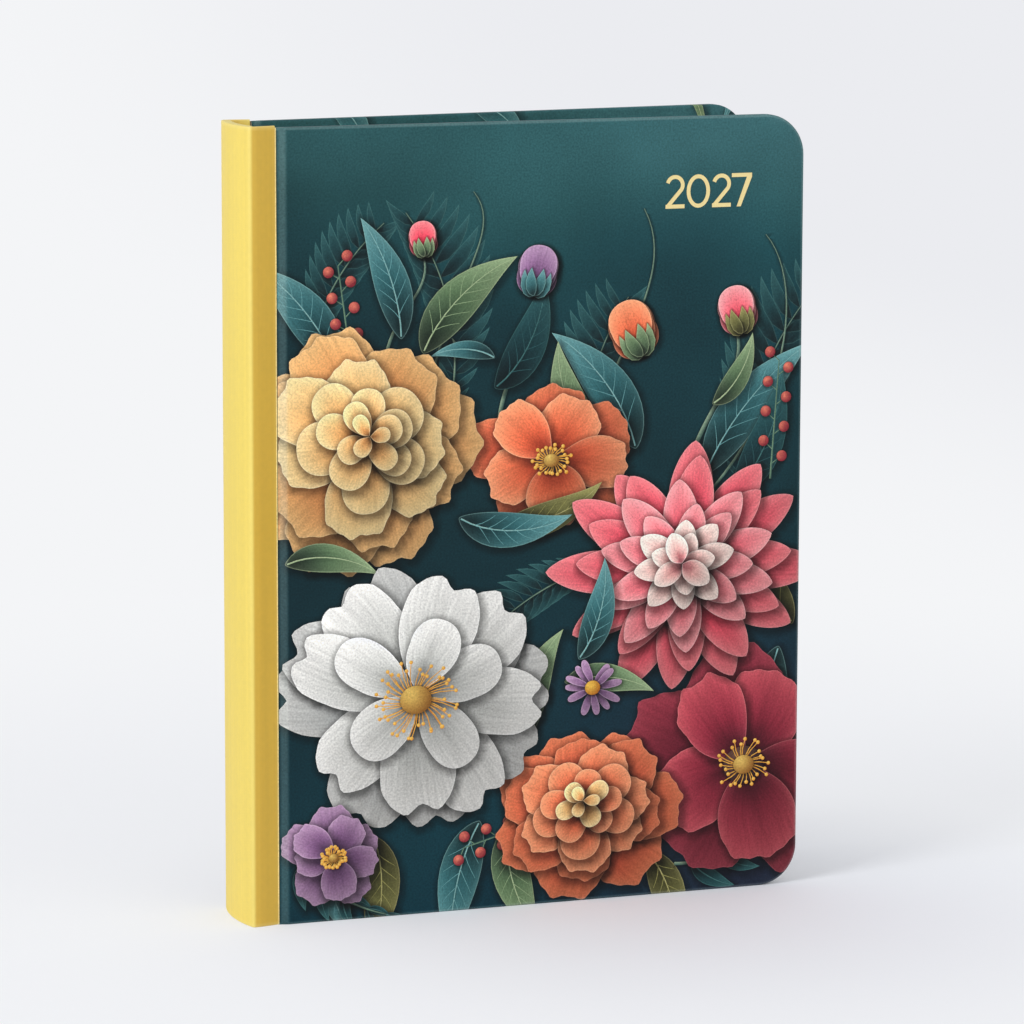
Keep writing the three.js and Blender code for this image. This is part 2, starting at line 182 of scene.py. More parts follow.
def rgb(code: str) -> Array:
    """Red, green and blue from 0 to 1, as seen on a screen, of a six-figure colour code."""
    return np.array([int(code[i:i + 2], 16) for i in (0, 2, 4)]) / 255


def linear(colour: Array) -> Array:
    """Scene-linear values of screen colours, by the standard screen curve."""
    colour = np.clip(colour, 0, 1)
    return np.where(colour <= 0.04045, colour / 12.92, ((colour + 0.055) / 1.055) ** 2.4)


def paint(code: str) -> tuple[float, float, float, float]:
    """A shader socket's colour, from a six-figure colour code."""
    return (*linear(rgb(code)), 1.0)


def blend_colours(stops: list[str], at: list[float], value: Array) -> Array:
    """Screen colours that run evenly through the codes at stops, read at a value of any shape."""
    table = np.array([rgb(code) for code in stops])
    return np.stack([np.interp(value, at, table[:, i]) for i in range(3)], -1)


def smoothstep(t: Array) -> Array:
    """Zero below 0, one above 1, and 3t^2 - 2t^3 between."""
    t = np.clip(t, 0, 1)
    return t * t * (3 - 2 * t)


def unit(rows: Array) -> Array:
    """Rows divided by their own lengths."""
    return rows / np.maximum(np.linalg.norm(rows, axis=-1, keepdims=True), 1e-9)


def turn(points: Array, centre: Pair, angle: Array | float) -> Array:
    """Rows of x, y, z turned about an upright line through a centre, by radians."""
    x, y = points[..., 0] - centre[0], points[..., 1] - centre[1]
    c, s = np.cos(angle), np.sin(angle)
    return np.stack([centre[0] + x * c - y * s, centre[1] + x * s + y * c, points[..., 2]], -1)


def arc(centre: Pair, radius: float, first: float, last: float, steps: int) -> Array:
    """Points on an arc between two angles in degrees, ends included."""
    a = np.radians(np.linspace(first, last, steps + 1))
    return np.stack([centre[0] + radius * np.cos(a), centre[1] + radius * np.sin(a)], -1)


class Side(Enum):
    """A cover's side of the book."""

    FRONT = "front"
    BACK = "back"


class Place:
    """Puts closed-book millimetres where the frame has them.

    The front half stands as in the closed book. The back half is mirrored, and its pieces lean about
    the same hinge lines as the frame's own nodes.
    """

    AJAR = math.radians(6.15)
    LEAF_SHARE = 0.5
    INSET = 3.0

    def __init__(self) -> None:
        """Reads the frame's boxes and hinges. Pages stand back from the covers' edges by INSET."""
        low, high = (np.array(v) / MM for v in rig.box("front_cover_paper"))
        self.shift = np.array([low[0], low[1], 0.0])
        self.reach, self.height = high[0] - low[0], high[2] - low[2]
        self.page_low, self.page_high = self.INSET, self.height - self.INSET
        spine_low, spine_high = (np.array(v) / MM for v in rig.box("spine_cloth"))
        self.thickness = spine_high[1] - spine_low[1]
        self.head = spine_high[2]
        places = {j["name"]: np.array(j["pos_m"]) / MM - self.shift for j in frame["joints"]}
        self.joint_hinge = tuple(places["front_joint_hinge"][:2])
        self.cover_hinge = tuple(places["front_cover_hinge"][:2])
        self.leaf_hinge = tuple(places["front_flyleaf_hinge"][:2])

    def box(self, node: str) -> tuple[Array, Array]:
        """A node's lowest and highest corners in closed-book millimetres."""
        low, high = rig.box(node)
        return np.array(low) / MM - self.shift, np.array(high) / MM - self.shift

    def mirrored(self, point: Pair) -> Pair:
        """A plan point of the front half, as the back half has it."""
        return point[0], self.thickness - point[1]

    def row(
        self,
        points: Array,
        side: Side = Side.FRONT,
        joint: Array | float = 0.0,
        cover: Array | float = 0.0,
        leaf: Array | float = 0.0,
    ) -> Array:
        """Points in the frame's metres.

        Args:
            points: Rows of x, depth and z in millimetres.
            side: The half of the book they belong to.
            joint: How far they share the joint's lean, from 0 to 1.
            cover: How far they share the cover's own lean.
            leaf: How far they share the flyleaf's own lean.

        Returns:
            Rows of x, y, z in metres.
        """
        points = np.array(points, float)
        if side is Side.BACK:
            points[..., 1] = self.thickness - points[..., 1]
            half = self.AJAR / 2
            points = turn(points, self.mirrored(self.cover_hinge), half * cover)
            points = turn(points, self.mirrored(self.leaf_hinge), half * self.LEAF_SHARE * leaf)
            points = turn(points, self.mirrored(self.joint_hinge), half * joint)
        return (points + self.shift) * MM


PLACE = Place()


class Tree:
    """Adds nodes to one shader tree or node group and links them."""

    def __init__(self, tree: bpy.types.NodeTree) -> None:
        """Keeps the tree that the nodes go into."""
        self.tree = tree

    def feed(self, node: Node, name: str | int, value: object) -> None:
        """Links a socket to a node's input, or sets the input to a plain value.

        Args:
            node: The node that takes the value.
            name: The input's name or number.
            value: A socket or a plain value.
        """
        if isinstance(value, Socket):
            self.tree.links.new(value, node.inputs[name])
        else:
            node.inputs[name].default_value = value

    def add(self, kind: str, inputs: dict | None = None, **settings: object) -> Node:
        """A new node.

        Args:
            kind: The node's type, without its ShaderNode prefix.
            inputs: Values or output sockets, by the name or number of the input.
            settings: Properties of the node itself.

        Returns:
            The node.
        """
        node = self.tree.nodes.new("ShaderNode" + kind)
        for name, value in settings.items():
            setattr(node, name, value)
        for name, value in (inputs or {}).items():
            self.feed(node, name, value)
        return node

    def place(self) -> Socket:
        """The Object coordinates."""
        return self.add("TexCoord").outputs["Object"]

    def attribute(self, name: str) -> Node:
        """An attribute that the mesh carries."""
        return self.add("Attribute", attribute_name=name, attribute_type="GEOMETRY")

    def math(self, operation: str, first: object, second: object = 0.0) -> Socket:
        """The output of a Math node on two values or sockets."""
        return self.add("Math", {0: first, 1: second}, operation=operation).outputs[0]

    def ramp(self, value: Socket, low: float, high: float) -> Socket:
        """A smooth mask that rises from 0 at low to 1 at high."""
        inputs = {"Value": value, "From Min": low, "From Max": high}
        return self.add("MapRange", inputs, interpolation_type="SMOOTHSTEP").outputs["Result"]

    def mix(self, factor: object, first: object, second: object) -> Socket:
        """A mix of two colours by a factor."""
        return self.add("Mix", {0: factor, 6: first, 7: second}, data_type="RGBA").outputs[2]

    def noise(self, vector: Socket, scale: object, detail: float) -> Socket:
        """A smooth noise from 0 to 1, finer with a larger scale."""
        return self.add("TexNoise", {"Vector": vector, "Scale": scale, "Detail": detail}).outputs["Fac"]

    def swing(self, value: Socket, amount: object) -> Socket:
        """How far a value lies from one half, times an amount."""
        return self.math("MULTIPLY", self.math("SUBTRACT", value, 0.5), amount)

    def brightness(self, colour: object, value: Socket) -> Socket:
        """A colour with its brightness multiplied by a value."""
        return self.add("HueSaturation", {"Color": colour, "Value": value}).outputs["Color"]

    def group(self, tree: bpy.types.NodeTree, inputs: dict) -> bpy.types.NodeOutputs:
        """The outputs of a node group that is placed in the tree with its own values."""
        return self.add("Group", inputs, node_tree=tree).outputs


def new_group(name: str, numbers: dict[str, float]) -> tuple[Tree, bpy.types.NodeOutputs, Node]:
    """A node group that takes a colour, a vector and numbers, and puts out a colour and a height.

    Args:
        name: The group's name.
        numbers: The default of each number by its name.

    Returns:
        The group's tree, the sockets that it takes, and its output node.
    """
    tree = bpy.data.node_groups.new(name, "ShaderNodeTree")
    new_socket = tree.interface.new_socket
    grey = new_socket("Colour", in_out="INPUT", socket_type="NodeSocketColor")
    grey.default_value = (0.8, 0.8, 0.8, 1)
    new_socket("Vector", in_out="INPUT", socket_type="NodeSocketVector")
    for label, default in numbers.items():
        new_socket(label, in_out="INPUT", socket_type="NodeSocketFloat").default_value = default
    new_socket("Colour", in_out="OUTPUT", socket_type="NodeSocketColor")
    new_socket("Height", in_out="OUTPUT", socket_type="NodeSocketFloat")
    source, sink = tree.nodes.new("NodeGroupInput"), tree.nodes.new("NodeGroupOutput")
    return Tree(tree), source.outputs, sink


class Effects:
    """The node groups that more than one finish places, each built once."""

    BROAD_SCALE = 0.04
    BROAD_SHARE = 0.3
    FIBRE_STRETCH = (400.0, 2000.0, 1600.0)
    FIBRE_BEND = 0.01

    @staticmethod
    @cache
    def grain() -> bpy.types.NodeTree:
        """Fine mottle at two scales: it varies a colour's brightness and gives a height."""
        t, source, sink = new_group("diary_grain", {"Scale": 900.0, "Spread": 0.1})
        fine = t.noise(source["Vector"], source["Scale"], 3.0)
        broad = t.noise(source["Vector"], t.math("MULTIPLY", source["Scale"], Effects.BROAD_SCALE), 2.0)
        both = t.math("ADD", t.math("SUBTRACT", fine, 0.5), t.swing(broad, Effects.BROAD_SHARE))
        value = t.math("ADD", t.math("MULTIPLY", both, source["Spread"]), 1.0)
        t.feed(sink, "Colour", t.brightness(source["Colour"], value))
        t.feed(sink, "Height", fine)
        return t.tree

    @staticmethod
    @cache
    def weave() -> bpy.types.NodeTree:
        """Plain weave: threads along two axes, over and under by turns, as a height and a colour."""
        t, source, sink = new_group("diary_weave", {"Pitch": 0.5, "Shade": 0.1})
        split = t.add("SeparateXYZ", {"Vector": source["Vector"]}).outputs
        turns = t.math("DIVIDE", 2 * math.pi / MM, source["Pitch"])
        across, along = (t.math("SINE", t.math("MULTIPLY", split[axis], turns)) for axis in ("X", "Z"))
        height = t.math("ADD", t.math("MULTIPLY", t.math("MULTIPLY", across, along), 0.5), 0.5)
        value = t.math("SUBTRACT", 1.0, t.math("MULTIPLY", height, source["Shade"]))
        t.feed(sink, "Colour", t.brightness(source["Colour"], value))
        t.feed(sink, "Height", height)
        return t.tree

    @staticmethod
    @cache
    def fibres() -> bpy.types.NodeTree:
        """Paper: short pale and dark fibres that lie at random, as a colour and a height."""
        t, source, sink = new_group("diary_fibres", {"Spread": 0.05})
        bend = t.add("TexNoise", {"Vector": source["Vector"], "Scale": 120.0, "Detail": 1.0}).outputs["Color"]
        warp = t.add("VectorMath", {0: bend, "Scale": Effects.FIBRE_BEND}, operation="SCALE").outputs[0]
        moved = t.add("VectorMath", {0: source["Vector"], 1: warp}, operation="ADD").outputs[0]
        drawn = t.add("Mapping", {"Vector": moved, "Scale": Effects.FIBRE_STRETCH}).outputs[0]
        hair = t.noise(drawn, 1.0, 2.0)
        value = t.math("ADD", t.swing(hair, source["Spread"]), 1.0)
        t.feed(sink, "Colour", t.brightness(source["Colour"], value))
        t.feed(sink, "Height", hair)
        return t.tree


@dataclass(frozen=True)
class Finish(ABC):
    """A finish: one material, made once and shared by the pieces that have it.

    The roughness is rough plus rough_swing times the height of the grain, which has its own scale
    and spread. Depths are millimetres.
    """

    name: str
    rough: float = 0.5
    rough_swing: float = 0.0
    specular: float = 0.5
    relief_depth: float = 0.02
    relief_share: float = 0.3
    scale: float = 500.0
    spread: float = 0.2

    def material(self) -> bpy.types.Material:
        """The finish's material, made the first time that it is asked for."""
        found = bpy.data.materials.get(self.name)
        if found is None:
            found = bpy.data.materials.new(self.name)
            found.use_nodes = True
            found.node_tree.nodes.clear()
            tree = Tree(found.node_tree)
            shader = tree.add("BsdfPrincipled")
            self.dress(tree, shader)
            tree.add("OutputMaterial", {"Surface": self.surface(tree, shader)})
        return found

    @abstractmethod
    def dress(self, tree: Tree, shader: Node) -> None:
        """Adds the finish's own nodes before its Principled shader.

        Args:
            tree: The material's tree.
            shader: Its Principled shader.
        """

    def surface(self, tree: Tree, shader: Node) -> Socket:
        """What the surface shows: here the shader and nothing else."""
        return shader.outputs["BSDF"]

    def grained(self, tree: Tree, colour: object) -> bpy.types.NodeOutputs:
        """The grain over a colour, as the group's outputs."""
        inputs = {"Colour": colour, "Vector": tree.place(), "Scale": self.scale, "Spread": self.spread}
        return tree.group(Effects.grain(), inputs)

    def polish(
        self, tree: Tree, shader: Node, colour: Socket, grain: Socket, relief: Socket | None = None
    ) -> None:
        """Sets the colour, the gloss, the roughness and the relief.

        Args:
            tree: The material's tree.
            shader: Its Principled shader.
            colour: The surface's own colour.
            grain: The height that the roughness follows.
            relief: The height that the relief follows, where that isn't the grain.
        """
        tree.feed(shader, "Base Color", colour)
        tree.feed(shader, "Specular IOR Level", self.specular)
        rough = self.rough
        if self.rough_swing:
            rough = tree.math("ADD", tree.math("MULTIPLY", grain, self.rough_swing), self.rough)
        tree.feed(shader, "Roughness", rough)
        height = grain if relief is None else relief
        depth = self.relief_depth * MM
        bump = tree.add("Bump", {"Height": height, "Distance": depth, "Strength": self.relief_share})
        tree.feed(shader, "Normal", bump.outputs["Normal"])


@dataclass(frozen=True)
class Laminate(Finish):
    """Printed paper under a matt film: the print's colours with a painted sheen and highlight mixed in, streaked along
    each petal.
    """

    rough: float = 0.46
    rough_swing: float = 0.1
    specular: float = 0.14
    relief_share: float = 0.35
    scale: float = 1900.0
    spread: float = 1.0
    streaks: Triple = (2.2, 15.0, 1.0)
    streak_swing: float = 1.05

    def dress(self, tree: Tree, shader: Node) -> None:
        """Reads the print's colour with its painted sheen and highlight, its streaks' strength and the petal's own
        coordinates.
        """
        ink = tree.attribute("ink").outputs
        petal = tree.add("UVMap", uv_map="petal").outputs["UV"]
        stretched = tree.add("Mapping", {"Vector": petal, "Scale": self.streaks}).outputs[0]
        swing = tree.swing(tree.noise(stretched, 1.0, 4.0), self.streak_swing)
        value = tree.math("ADD", tree.math("MULTIPLY", swing, ink["Alpha"]), 1.0)
        grain = self.grained(tree, tree.brightness(ink["Color"], value))
        self.polish(tree, shader, grain["Colour"], grain["Height"])


@dataclass(frozen=True)
class BookCloth(Finish):
    """Smooth coated yellow cloth: a fine thread under the coat, a painted highlight on its folds, edges and seam, and
    a deeper painted shade on the joints.
    """

    rough_swing: float = 0.14
    specular: float = 0.35
    relief_depth: float = 0.03
    relief_share: float = 0.25
    colour: str = "EDD364"
    # The next colour is a deeper painted shade for the joints.
    joint_shade_colour: str = "D9AF3C"
    # The next colour is a paler painted highlight for the folds, edges and seam.
    painted_highlight: str = "F6E596"
    scale: float = 700.0
    spread: float = 0.12
    threads: Triple = (900.0, 900.0, 7.0)
    thread_swing: float = 0.14
    pitch: float = 0.42
    shade: float = 0.05

    def dress(self, tree: Tree, shader: Node) -> None:
        """A fine weave and a mottle, with a deeper painted shade on the joints and a paler painted highlight on the
        folds, edges and seam, where the piece's masks say.
        """
        place = tree.place()
        # The two masks: painted shade on the joints, painted highlight on the folds, edges and seam.
        joint_shade, edge_highlight = (tree.attribute(name).outputs["Fac"] for name in ("joint_shade", "edge_highlight"))
        grain = self.grained(tree, tree.mix(joint_shade, paint(self.colour), paint(self.joint_shade_colour)))
        drawn = tree.add("Mapping", {"Vector": place, "Scale": self.threads}).outputs[0]
        value = tree.math("ADD", tree.swing(tree.noise(drawn, 1.0, 2.0), self.thread_swing), 1.0)
        faded = tree.mix(edge_highlight, tree.brightness(grain["Colour"], value), paint(self.painted_highlight))
        inputs = {"Colour": faded, "Vector": place, "Pitch": self.pitch, "Shade": self.shade}
        cloth = tree.group(Effects.weave(), inputs)
        relief = tree.math("ADD", cloth["Height"], grain["Height"])
        self.polish(tree, shader, cloth["Colour"], grain["Height"], relief)


@dataclass(frozen=True)
class Paper(Finish):
    """Uncoated paper with its fibres."""

    rough: float = 0.85
    specular: float = 0.25
    colour: str = "F4F0E4"
    spread: float = 0.06

    def dress(self, tree: Tree, shader: Node) -> None:
        """Fibres in colour and height."""
        inputs = {"Colour": paint(self.colour), "Vector": tree.place(), "Spread": self.spread}
        fibres = tree.group(Effects.fibres(), inputs)
        self.polish(tree, shader, self.printed(tree, fibres["Colour"]), fibres["Height"])

    def printed(self, tree: Tree, colour: Socket) -> Socket:
        """The paper's colour as it is."""
        return colour


@dataclass(frozen=True)
class RuledPaper(Paper):
    """Page paper with faint ruled lines on its two faces and plain cut edges."""

    ink: str = "B9C4C6"
    pitch: float = 7.0
    line: float = 0.22
    margin: float = 16.0
    facing: float = 0.7

    def printed(self, tree: Tree, colour: Socket) -> Socket:
        """Lays level lines over the fibres wherever the surface is a page's face, inside its margins.

        Args:
            tree: The material's tree.
            colour: The paper's colour.

        Returns:
            The colour with its lines.
        """
        coordinates = tree.add("TexCoord").outputs
        place = tree.add("SeparateXYZ", {"Vector": coordinates["Object"]}).outputs
        normal = tree.add("SeparateXYZ", {"Vector": coordinates["Normal"]}).outputs
        left = PLACE.shift[0] + self.margin / 2
        right = PLACE.shift[0] + PLACE.reach - self.margin / 1.5
        within = tree.math("FRACT", tree.math("DIVIDE", place["Z"], self.pitch * MM))
        mask = tree.math("LESS_THAN", within, self.line / self.pitch)
        for test, value, limit in (
            ("GREATER_THAN", tree.math("ABSOLUTE", normal["Y"]), self.facing),
            ("GREATER_THAN", place["Z"], self.margin * MM),
            ("LESS_THAN", place["Z"], (PLACE.height - 1.5 * self.margin) * MM),
            ("GREATER_THAN", place["X"], left * MM),
            ("LESS_THAN", place["X"], right * MM),
        ):
            mask = tree.math("MULTIPLY", mask, tree.math(test, value, limit))
        return tree.mix(mask, colour, paint(self.ink))


@dataclass(frozen=True)
class Speckled(Finish):
    """Grey board or brown lining paper: a mottled colour with dark specks."""

    rough: float = 0.9
    relief_depth: float = 0.05
    relief_share: float = 0.4
    colour: str = "8E867A"
    speck: str = "5E584F"
    speck_scale: float = 2600.0
    peaks: Pair = (0.66, 0.74)

    def dress(self, tree: Tree, shader: Node) -> None:
        """Mottle, and specks where a fine noise peaks."""
        grain = self.grained(tree, paint(self.colour))
        mask = tree.ramp(tree.noise(tree.place(), self.speck_scale, 1.0), *self.peaks)
        self.polish(tree, shader, tree.mix(mask, grain["Colour"], paint(self.speck)), grain["Height"])


@dataclass(frozen=True)
class Gauze(Finish):
    """Open cotton weave, for the mull, the sewing thread and the joint's lining."""

    rough: float = 0.95
    relief_depth: float = 0.1
    relief_share: float = 0.6
    colour: str = "E9E2D0"
    pitch: float = 0.9
    shade: float = 0.35

    def dress(self, tree: Tree, shader: Node) -> None:
        """The weave in colour and height."""
        colour, place = paint(self.colour), tree.place()
        inputs = {"Colour": colour, "Vector": place, "Pitch": self.pitch, "Shade": self.shade}
        weave = tree.group(Effects.weave(), inputs)
        self.polish(tree, shader, weave["Colour"], weave["Height"])


@dataclass(frozen=True)
class Stripes(Finish):
    """Headband silk: two colours by turns along the band, with fine threads."""

    rough: float = 0.6
    relief_depth: float = 0.05
    relief_share: float = 0.5
    first: str = "E7C23C"
    second: str = "F7F1DF"
    pitch: float = 1.5
    threads: int = 6
    sheen: float = 0.2

    def dress(self, tree: Tree, shader: Node) -> None:
        """Stripes across the block's thickness, and a relief with a few threads to each pair of them."""
        split = tree.add("SeparateXYZ", {"Vector": tree.place()}).outputs
        turns = 2 * math.pi / (self.pitch * MM)
        wave = tree.math("SINE", tree.math("MULTIPLY", split["Y"], turns))
        colour = tree.mix(tree.ramp(wave, -0.15, 0.15), paint(self.first), paint(self.second))
        tree.feed(shader, "Sheen Weight", self.sheen)
        threads = tree.math("SINE", tree.math("MULTIPLY", split["Y"], self.threads * turns))
        self.polish(tree, shader, colour, threads)


@dataclass(frozen=True)
class Foil(Finish):
    """Pale gold foil pressed on the film, slightly uneven in gloss."""

    rough: float = 0.32
    rough_swing: float = 0.2
    colour: str = "FBE5A2"
    scale: float = 1800.0
    spread: float = 0.14
    metal: float = 0.55

    def dress(self, tree: Tree, shader: Node) -> None:
        """A mottled metal."""
        grain = self.grained(tree, paint(self.colour))
        tree.feed(shader, "Metallic", self.metal)
        self.polish(tree, shader, grain["Colour"], grain["Height"])


@dataclass(frozen=True)
class Ground(Finish):
    """The pale studio floor and its backdrop.

    The camera sees them partly as a plain pale glow, more with the distance from the book, so
    that the floor keeps the shadow. Metal and gloss show that glow too, and it lights nothing.
    Distances are metres.
    """

    rough: float = 0.9
    specular: float = 0.1
    colour: str = "F6F8FD"
    scale: float = 40.0
    spread: float = 0.01
    glow: str = "F4F5F7"
    dim: str = "EBECF0"
    dim_from: Pair = (0.3, 0.8)
    shaded_spot: Triple = (0.035, -0.04, 0.0)
    near: float = 0.17
    far: float = 0.5
    near_share: float = 0.68

    def dress(self, tree: Tree, shader: Node) -> None:
        """A matt surface with a faint mottle."""
        tree.feed(shader, "Base Color", self.grained(tree, paint(self.colour))["Colour"])
        tree.feed(shader, "Roughness", self.rough)
        tree.feed(shader, "Specular IOR Level", self.specular)

    def surface(self, tree: Tree, shader: Node) -> Socket:
        """The shader, mixed with the glow.

        The glow's share rises to near_share at the distance near from the shaded spot, and from
        there to one at the distance far. The glow is a little dimmer at the right.

        Args:
            tree: The material's tree.
            shader: Its Principled shader.

        Returns:
            The mixed shader's output.
        """
        place = tree.place()
        span = tree.add("VectorMath", {0: place, 1: self.shaded_spot}, operation="DISTANCE")
        distance = span.outputs["Value"]
        first = tree.math("MULTIPLY", tree.ramp(distance, 0.0, self.near), self.near_share)
        second = tree.math("MULTIPLY", tree.ramp(distance, self.near, self.far), 1 - self.near_share)
        rays = tree.add("LightPath").outputs
        seen = tree.math("MAXIMUM", rays["Is Camera Ray"], rays["Is Glossy Ray"])
        seen = tree.math("MAXIMUM", seen, rays["Is Transmission Ray"])
        share = tree.math("MULTIPLY", tree.math("ADD", first, second), seen)
        aside = tree.ramp(tree.add("SeparateXYZ", {"Vector": place}).outputs["X"], *self.dim_from)
        tone = tree.mix(aside, paint(self.glow), paint(self.dim))
        glow = tree.add("Emission", {"Color": tone, "Strength": 1.0}).outputs[0]
        return tree.add("MixShader", {0: share, 1: shader.outputs["BSDF"], 2: glow}).outputs[0]


LAMINATE = Laminate("printed_laminate")
CLOTH = BookCloth("yellow_cloth")
ENDPAPER = Paper("endpaper", colour="F3EFE3")
PAGES = RuledPaper("page_paper", colour="F7F3E7")
BOARD = Speckled("grey_board")
KRAFT = Speckled("kraft_lining", colour="B99C74", speck="8D7350")
MULL = Gauze("mull_gauze")
THREAD = Gauze("sewing_cotton", colour="F5F0E4", pitch=0.3, shade=0.2)
HEADBAND = Stripes("headband_silk")
FOIL = Foil("gold_foil")
GROUND = Ground("studio_floor")


def make_object(
    name: str, points: Array, faces: list, finishes: list[Finish], crease: float = 40.0, outwards: bool = True
) -> bpy.types.Object:
    """A smooth-shaded mesh object at the origin, linked to the scene.

    Args:
        name: The piece's name.
        points: Vertices in the frame's metres.
        faces: Lists of vertex numbers.
        finishes: The finishes of its material slots, in order.
        crease: Edges sharper than this many degrees stay sharp.
        outwards: Whether the faces are turned outwards, or stay as they are wound.

    Returns:
        The object.
    """
    mesh = bpy.data.meshes.new(name)
    mesh.from_pydata(np.asarray(points, float).reshape(-1, 3).tolist(), [], faces)
    if outwards:
        work = bmesh.new()
        work.from_mesh(mesh)
        bmesh.ops.recalc_face_normals(work, faces=work.faces)
        work.to_mesh(mesh)
        work.free()
    mesh.polygons.foreach_set("use_smooth", np.ones(len(mesh.polygons), bool))
    mesh.set_sharp_from_angle(angle=math.radians(crease))
    for finish in finishes:
        mesh.materials.append(finish.material())
    piece = bpy.data.objects.new(name, mesh)
    bpy.context.scene.collection.objects.link(piece)
    LOG.info("%s: %d vertices, %d faces", name, len(mesh.vertices), len(mesh.polygons))
    return piece


def grid_faces(number: Array) -> Array:
    """Quads between the neighbours of a grid of vertex numbers, rows of four."""
    return np.stack([number[:-1, :-1], number[1:, :-1], number[1:, 1:], number[:-1, 1:]], -1).reshape(-1, 4)


def loft_faces(stations: int, around: int, first: int = 0) -> list[list[int]]:
    """Quads of a closed profile carried along a path, with a flat cap at each end.

    Args:
        stations: Profiles along the path.
        around: Points of each profile.
        first: The number of the first vertex.

    Returns:
        Vertex numbers of each face.
    """
    number = first + np.arange(stations * around).reshape(stations, around)
    after = np.roll(number, -1, 1)
    quads = np.stack([number[:-1], after[:-1], after[1:], number[1:]], -1).reshape(-1, 4)
    return [*quads.tolist(), number[0][::-1].tolist(), number[-1].tolist()]


def distance_to(points: Array, line: Array) -> Array:
    """Distance from points to a closed outline: to each segment's nearest point, then the least.

    Args:
        points: Rows of x, z.
        line: Rows of x, z along the outline.

    Returns:
        One distance per point.
    """
    run_x, run_z = (np.roll(line, -1, 0) - line).T
    gap_x, gap_z = points[:, :1] - line[:, 0], points[:, 1:] - line[:, 1]
    share = np.clip((gap_x * run_x + gap_z * run_z) / np.maximum(run_x ** 2 + run_z ** 2, 1e-12), 0, 1)
    return np.sqrt(((gap_x - share * run_x) ** 2 + (gap_z - share * run_z) ** 2).min(1))


def inside(points: Array, outline: Array) -> Array:
    """Whether points lie inside a closed outline, by its winding number about them.

    Args:
        points: Rows of x, z.
        outline: Rows of x, z along the outline.

    Returns:
        One truth value per point.
    """
    x, z = points[:, :1], points[:, 1:]
    ax, az = outline.T
    bx, bz = np.roll(outline, -1, 0).T
    left = (bx - ax) * (z - az) - (x - ax) * (bz - az)
    rising = (az <= z) & (bz > z) & (left > 0)
    falling = (az > z) & (bz <= z) & (left < 0)
    return rising.sum(1) != falling.sum(1)


def near_box(points: Array, outline: Array) -> Array:
    """Whether points lie in the upright box round an outline."""
    return ((points >= outline.min(0)) & (points <= outline.max(0))).all(1)


def grown(outline: Array, by: float) -> Array:
    """An outline whose points move along the mean of their two edges' normals.

    Args:
        outline: Rows of x, z.
        by: How far they move, outwards where it is positive.

    Returns:
        The moved outline.
    """
    before, after = np.roll(outline, 1, 0), np.roll(outline, -1, 0)
    first, second = (unit(np.stack([e[:, 1], -e[:, 0]], -1)) for e in (outline - before, after - outline))
    area = (outline[:, 0] * after[:, 1] - after[:, 0] * outline[:, 1]).sum()
    return outline + math.copysign(by, area * by) * unit(first + second)


# The direction on the sheet that the printed light comes from, in radians.
LIGHT_FROM = 2.2


@dataclass(kw_only=True)
class Mark(ABC):
    """One printed shape on the cover's sheet: its outline, its colours and the shade that it casts.

    The shade reaches as far as cast, and is as dark as depth beside the outline. The rim is a thin
    pale line of that colour inside the outline.
    """

    cast: float = 0.0
    depth: float = 0.42
    rim: str = ""
    rim_width: float = 0.2
    light: float = 1.0

    @abstractmethod
    def outline(self) -> Array:
        """The closed outline, rows of x, z."""

    @abstractmethod
    def ink(self, points: Array) -> Ink:
        """The print at points on the sheet.

        Args:
            points: Rows of x, z.

        Returns:
            Screen colours, streak strengths and petal coordinates.
        """


@dataclass(frozen=True)
class Tint:
    """Colours of a petal or leaf from its base to its tip, and of its rim."""

    base: str
    middle: str
    tip: str
    rim: str


class Tip(Enum):
    """The form of a petal's end: its draw, the power of the draw, its notch and its ripple."""

    ROUND = (0.34, 2.4, 0.0, 0.0)
    POINTED = (0.5, 1.35, 0.0, 0.0)
    NOTCHED = (0.3, 2.4, 0.1, 0.006)
    RUFFLED = (0.3, 2.4, 0.03, 0.018)
    LEAF = (0.0, 1.0, 0.0, 0.0)


